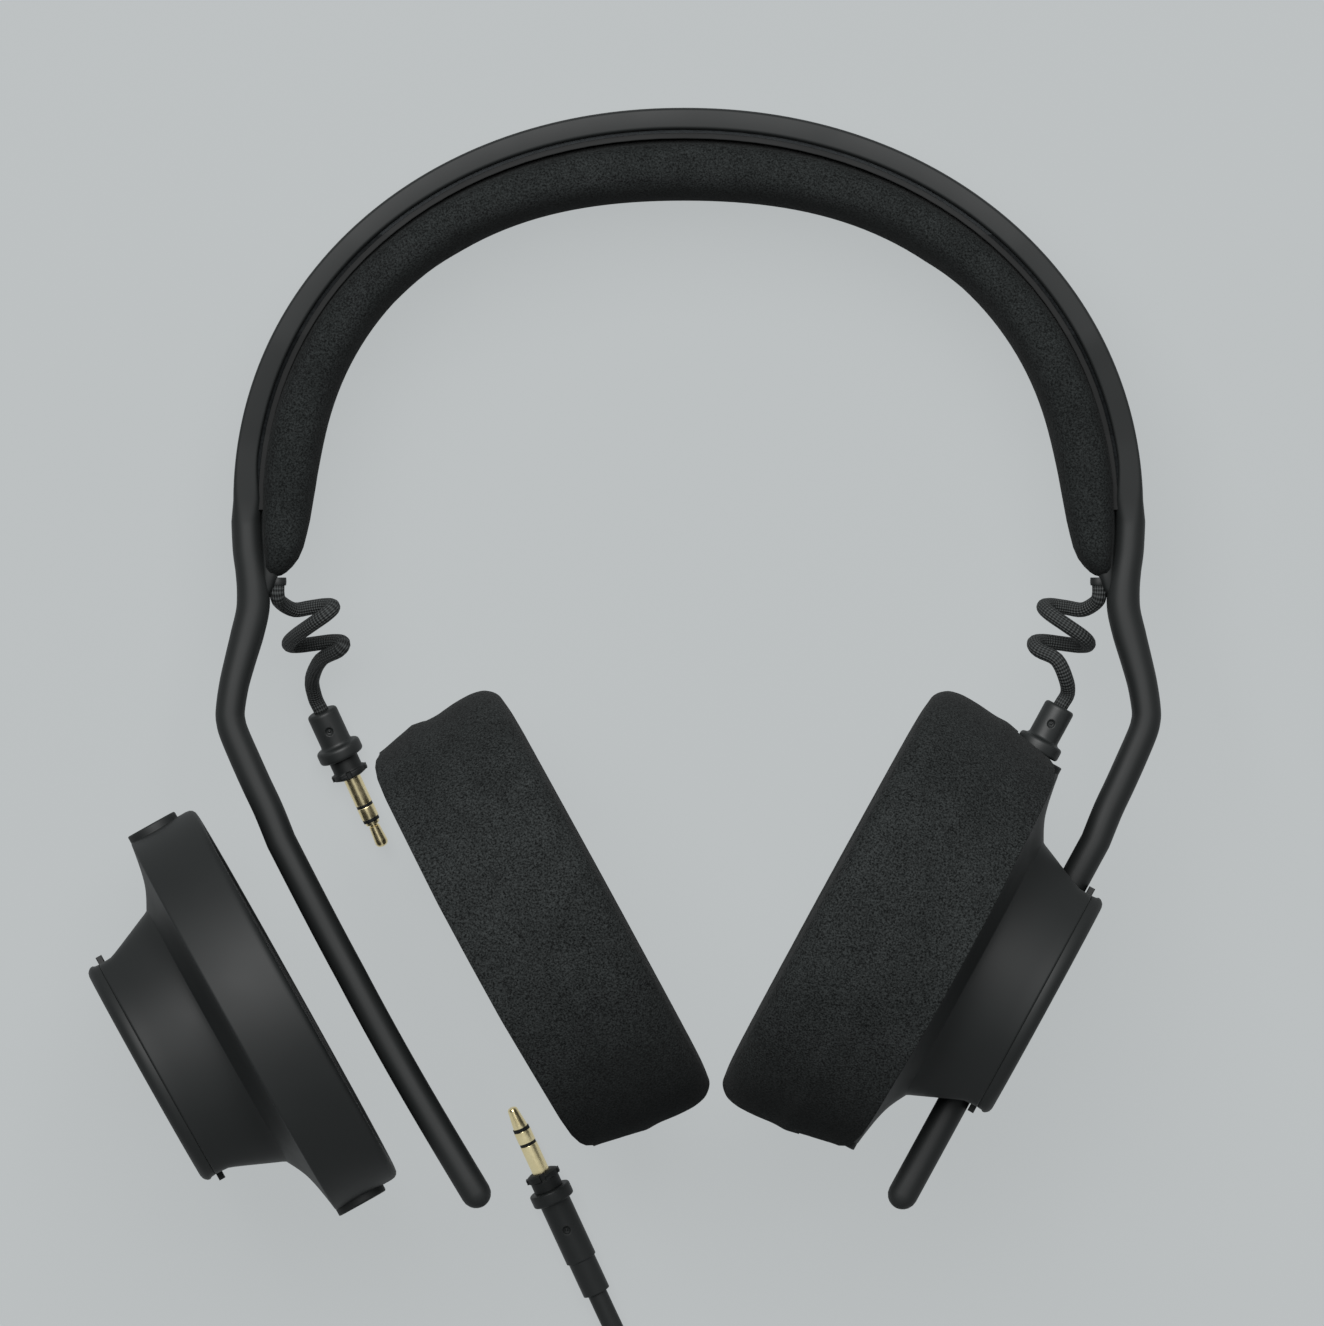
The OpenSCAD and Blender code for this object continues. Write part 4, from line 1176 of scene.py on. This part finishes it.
def speaker(side, place, body):
    cuts = [("UNION", hump([
        (17.0, 29.9, 60), (18.0, 29.4, 29.3), (19.0, 29.2, 28.55), (20.0, 29.15, 28.05),
        (22.0, 29.0, 27.1), (24.0, 28.8, 26.2), (26.0, 28.55, 25.3), (28.0, 28.3, 24.45),
        (29.0, 28.15, 24.1), (30.5, 28.0, 24.0), (31.5, 27.9, 24.0), (31.75, 27.7, 23.8),
    ]))]
    for sign in (1, -1):
        hole = lathe([
            Vector((0, 30)), Vector((JACK_RADIUS + 0.03, 30)), Vector((JACK_RADIUS + 0.03, 60)),
            Vector((0, 60)),
        ], 64)
        cuts += [("UNION", lug(sign)), ("DIFFERENCE", turned_to_y(hole, sign, JACK_DEPTH))]
    cuts.append(("DIFFERENCE", box_mesh(
        (-CHANNEL_HALF_WIDTH, -60, CHANNEL_FLOOR), (CHANNEL_HALF_WIDTH, 60, COVER_DEPTH + 1)
    )))
    shell = make_object(f"{side}_housing_shell", combined(rim_body(), cuts), shell_black, place, 30)
    settle(shell, body, "shell", f"{side}_housing", f"{side}_rim")
    lid = make_object(f"{side}_back_cover_lid", hump([
        (31.79, 27.6, 23.85), (31.95, 27.65, 24.0), (32.9, 27.55, 24.1), (33.3, 27.4, 24.35),
        (33.7, 27.15, 24.25), (34.1, 26.7, 23.95), (34.4, 26.1, 23.6), (SPEAKER_DEPTH, 25.3, 23.0),
    ]), shell_black, place, 30)
    settle(lid, body, "shell", f"{side}_back_cover")
    socket(side, "top", 1, place, body)
    socket(side, "bottom", -1, place, body)


speaker("right", RIGHT_SPEAKER, "right_speaker")
speaker("left", LEFT_SPEAKER, "left_speaker")

# ---------------------------------------------------------------- ear pads


def cushion_profile():
    """From the ring's inner edge, over the face and down the skirt, then back inside it."""
    return fillet([
        (25.5, -2.6), (EAR_RADIUS + 0.6, -4.2, 0.8), (EAR_RADIUS, -7.5, 2.5),
        (EAR_RADIUS + 0.8, -11.6, 3.0), (27.5, -14.6, 3.0), (33.0, -PAD_RISE, 3.0),
        (40.0, -PAD_RISE, 2.0), (44.0, -15.3, 1.0), (45.2, -14.5, 0.7), (46.4, -13.0, 0.9),
        (PAD_RADIUS, -10.5, 2.0), (46.95, -7.0, 2.0), (46.4, -2.2, 1.2), (46.5, 0.4, 0.8),
        (45.7, 4.0, 1.5), (45.1, 8.5, 2.0), (44.5, 12.5, 1.0), (44.3, SKIRT_DEPTH, 0.2),
        (43.8, SKIRT_DEPTH, 0.1), (43.8, 3.6, 0.1), (42.55, 3.6, 0.1), (42.5, -2.6),
    ], 6)


# The skirt's depth at its hem by the share of the way from its side to a socket. What lies
# above HEM_START isn't moved by it.
HEM = [
    (0, 15.3), (0.3, 15.25), (0.82, 14.5), (0.91, 14.1), (0.96, 13.4), (0.985, 12.6), (1.0, 11.4),
]
HEM_START = 4


def cushion(side, place, body, slack, slit, twist_room):
    """Ear cushion in one piece with the skirt that slips over the rim.
    slack is how far the skirt stands off, in mm, towards the upper socket. slit is half the
    width of its cut-outs at the sockets, 0 for a loose pad whose cut-outs have closed up, and
    twist_room is what the upper one needs beside the plug for the pad's twist."""
    solid = lathe([*cushion_profile(), Vector((25.5, -2.6))], 192)
    bmesh.ops.remove_doubles(solid, verts=solid.verts, dist=0.001)
    bm = combined(solid, [
        ("DIFFERENCE", box_mesh((-slit, 40, 3.2), (slit + twist_room, 50, 20))),
        ("DIFFERENCE", box_mesh((-slit, -50, 3.2), (slit, -42, 20))),
    ]) if slit else solid
    for vertex in bm.verts:
        x, y, z = vertex.co
        if z > HEM_START:
            hem = lookup(HEM, min(1.0, abs(y) / 44))
            stretch = (hem - HEM_START) / (SKIRT_DEPTH - HEM_START)
            vertex.co.z = HEM_START + (z - HEM_START) * stretch
        if z > 0:
            spread = 1 + slack / 45 * min(1.0, z / 3) * max(0.0, y / 45) ** 2
            vertex.co.x, vertex.co.y = x * spread, y * spread
    puff(bm, 0.5, lambda p: max(0.0, min(1.0, (-3.0 - p.z) / 4)))
    piece = make_object(f"{side}_cushion_fabric", bm, pad_fabric, place, 40)
    settle(piece, body, "soft_fabric", f"{side}_cushion", f"{side}_pad_skirt")


cushion("right", RIGHT_SPEAKER, "right_pad", 0.0, COLLAR_RADIUS + 0.2, 8.0)
cushion("left", LEFT_PAD, "left_pad", 1.1, 0.0, 0.0)

# ---------------------------------------------------------------- table and light

BACKDROP = "#babebf"


def shows_backdrop(tree):
    """1 for the rays that show the backdrop: the camera's, and those off metal or through glass."""
    path = add(tree, "ShaderNodeLightPath")
    first = add(
        tree, "ShaderNodeMath", {"operation": "MAXIMUM"}, i0=path.outputs["Is Camera Ray"],
        i1=path.outputs["Is Glossy Ray"],
    )
    return add(
        tree, "ShaderNodeMath", {"operation": "MAXIMUM"}, i0=first.outputs[0],
        i1=path.outputs["Is Transmission Ray"],
    ).outputs[0]


def make_table():
    """A plain pale table, even in view but for the softest of shadows."""
    bm = bmesh.new()
    bmesh.ops.create_grid(bm, x_segments=1, y_segments=1, size=4000)
    material, tree = new_material("table")[:2]
    tree.nodes.clear()
    diffuse = add(tree, "ShaderNodeBsdfDiffuse", Color=linear("#c4c8c9"))
    glow = add(tree, "ShaderNodeEmission", Color=linear(BACKDROP))
    even = add(tree, "ShaderNodeMixShader", i0=0.92, i1=diffuse.outputs[0], i2=glow.outputs[0])
    plain = add(tree, "ShaderNodeBsdfDiffuse", Color=linear("#242626"))
    shown = add(
        tree, "ShaderNodeMixShader", i0=shows_backdrop(tree), i1=plain.outputs[0],
        i2=even.outputs[0],
    )
    add(tree, "ShaderNodeOutputMaterial", Surface=shown.outputs[0])
    table = make_object("table", bm, material)
    table.location.z = -0.0001


def make_world():
    world = bpy.data.worlds.new("world")
    bpy.context.scene.world = world
    world.use_nodes = True
    tree = world.node_tree
    tree.nodes.clear()
    seen = add(tree, "ShaderNodeBackground", Color=linear(BACKDROP), Strength=1.0)
    room = add(tree, "ShaderNodeBackground", Color=linear("#8c9091"), Strength=0.14)
    both = add(
        tree, "ShaderNodeMixShader", i0=shows_backdrop(tree), i1=room.outputs[0],
        i2=seen.outputs[0],
    )
    add(tree, "ShaderNodeOutputWorld", Surface=both.outputs[0])


def area_light(name, at, target, size, power):
    """A softbox at a place in the headset's plane, in mm, turned towards a target."""
    data = bpy.data.lights.new(name, "AREA")
    data.shape = "RECTANGLE"
    data.size, data.size_y = size
    data.energy = power
    light = bpy.data.objects.new(name, data)
    bpy.context.scene.collection.objects.link(light)
    place = LAY @ Vector(at)
    light.location = place
    light.rotation_mode = "QUATERNION"
    light.rotation_quaternion = (LAY @ Vector(target) - place).to_track_quat("-Z", "Y")


def make_lights():
    middle = (0, -40, 0)
    area_light("key", (-150, 560, 1500), middle, (1.3, 1.0), 44)
    area_light("side", (1300, 300, 900), middle, (0.8, 1.0), 1.2)


make_table()
make_world()
make_lights()

scene = bpy.context.scene
scene.view_settings.view_transform = "Standard"
scene.view_settings.look = "None"
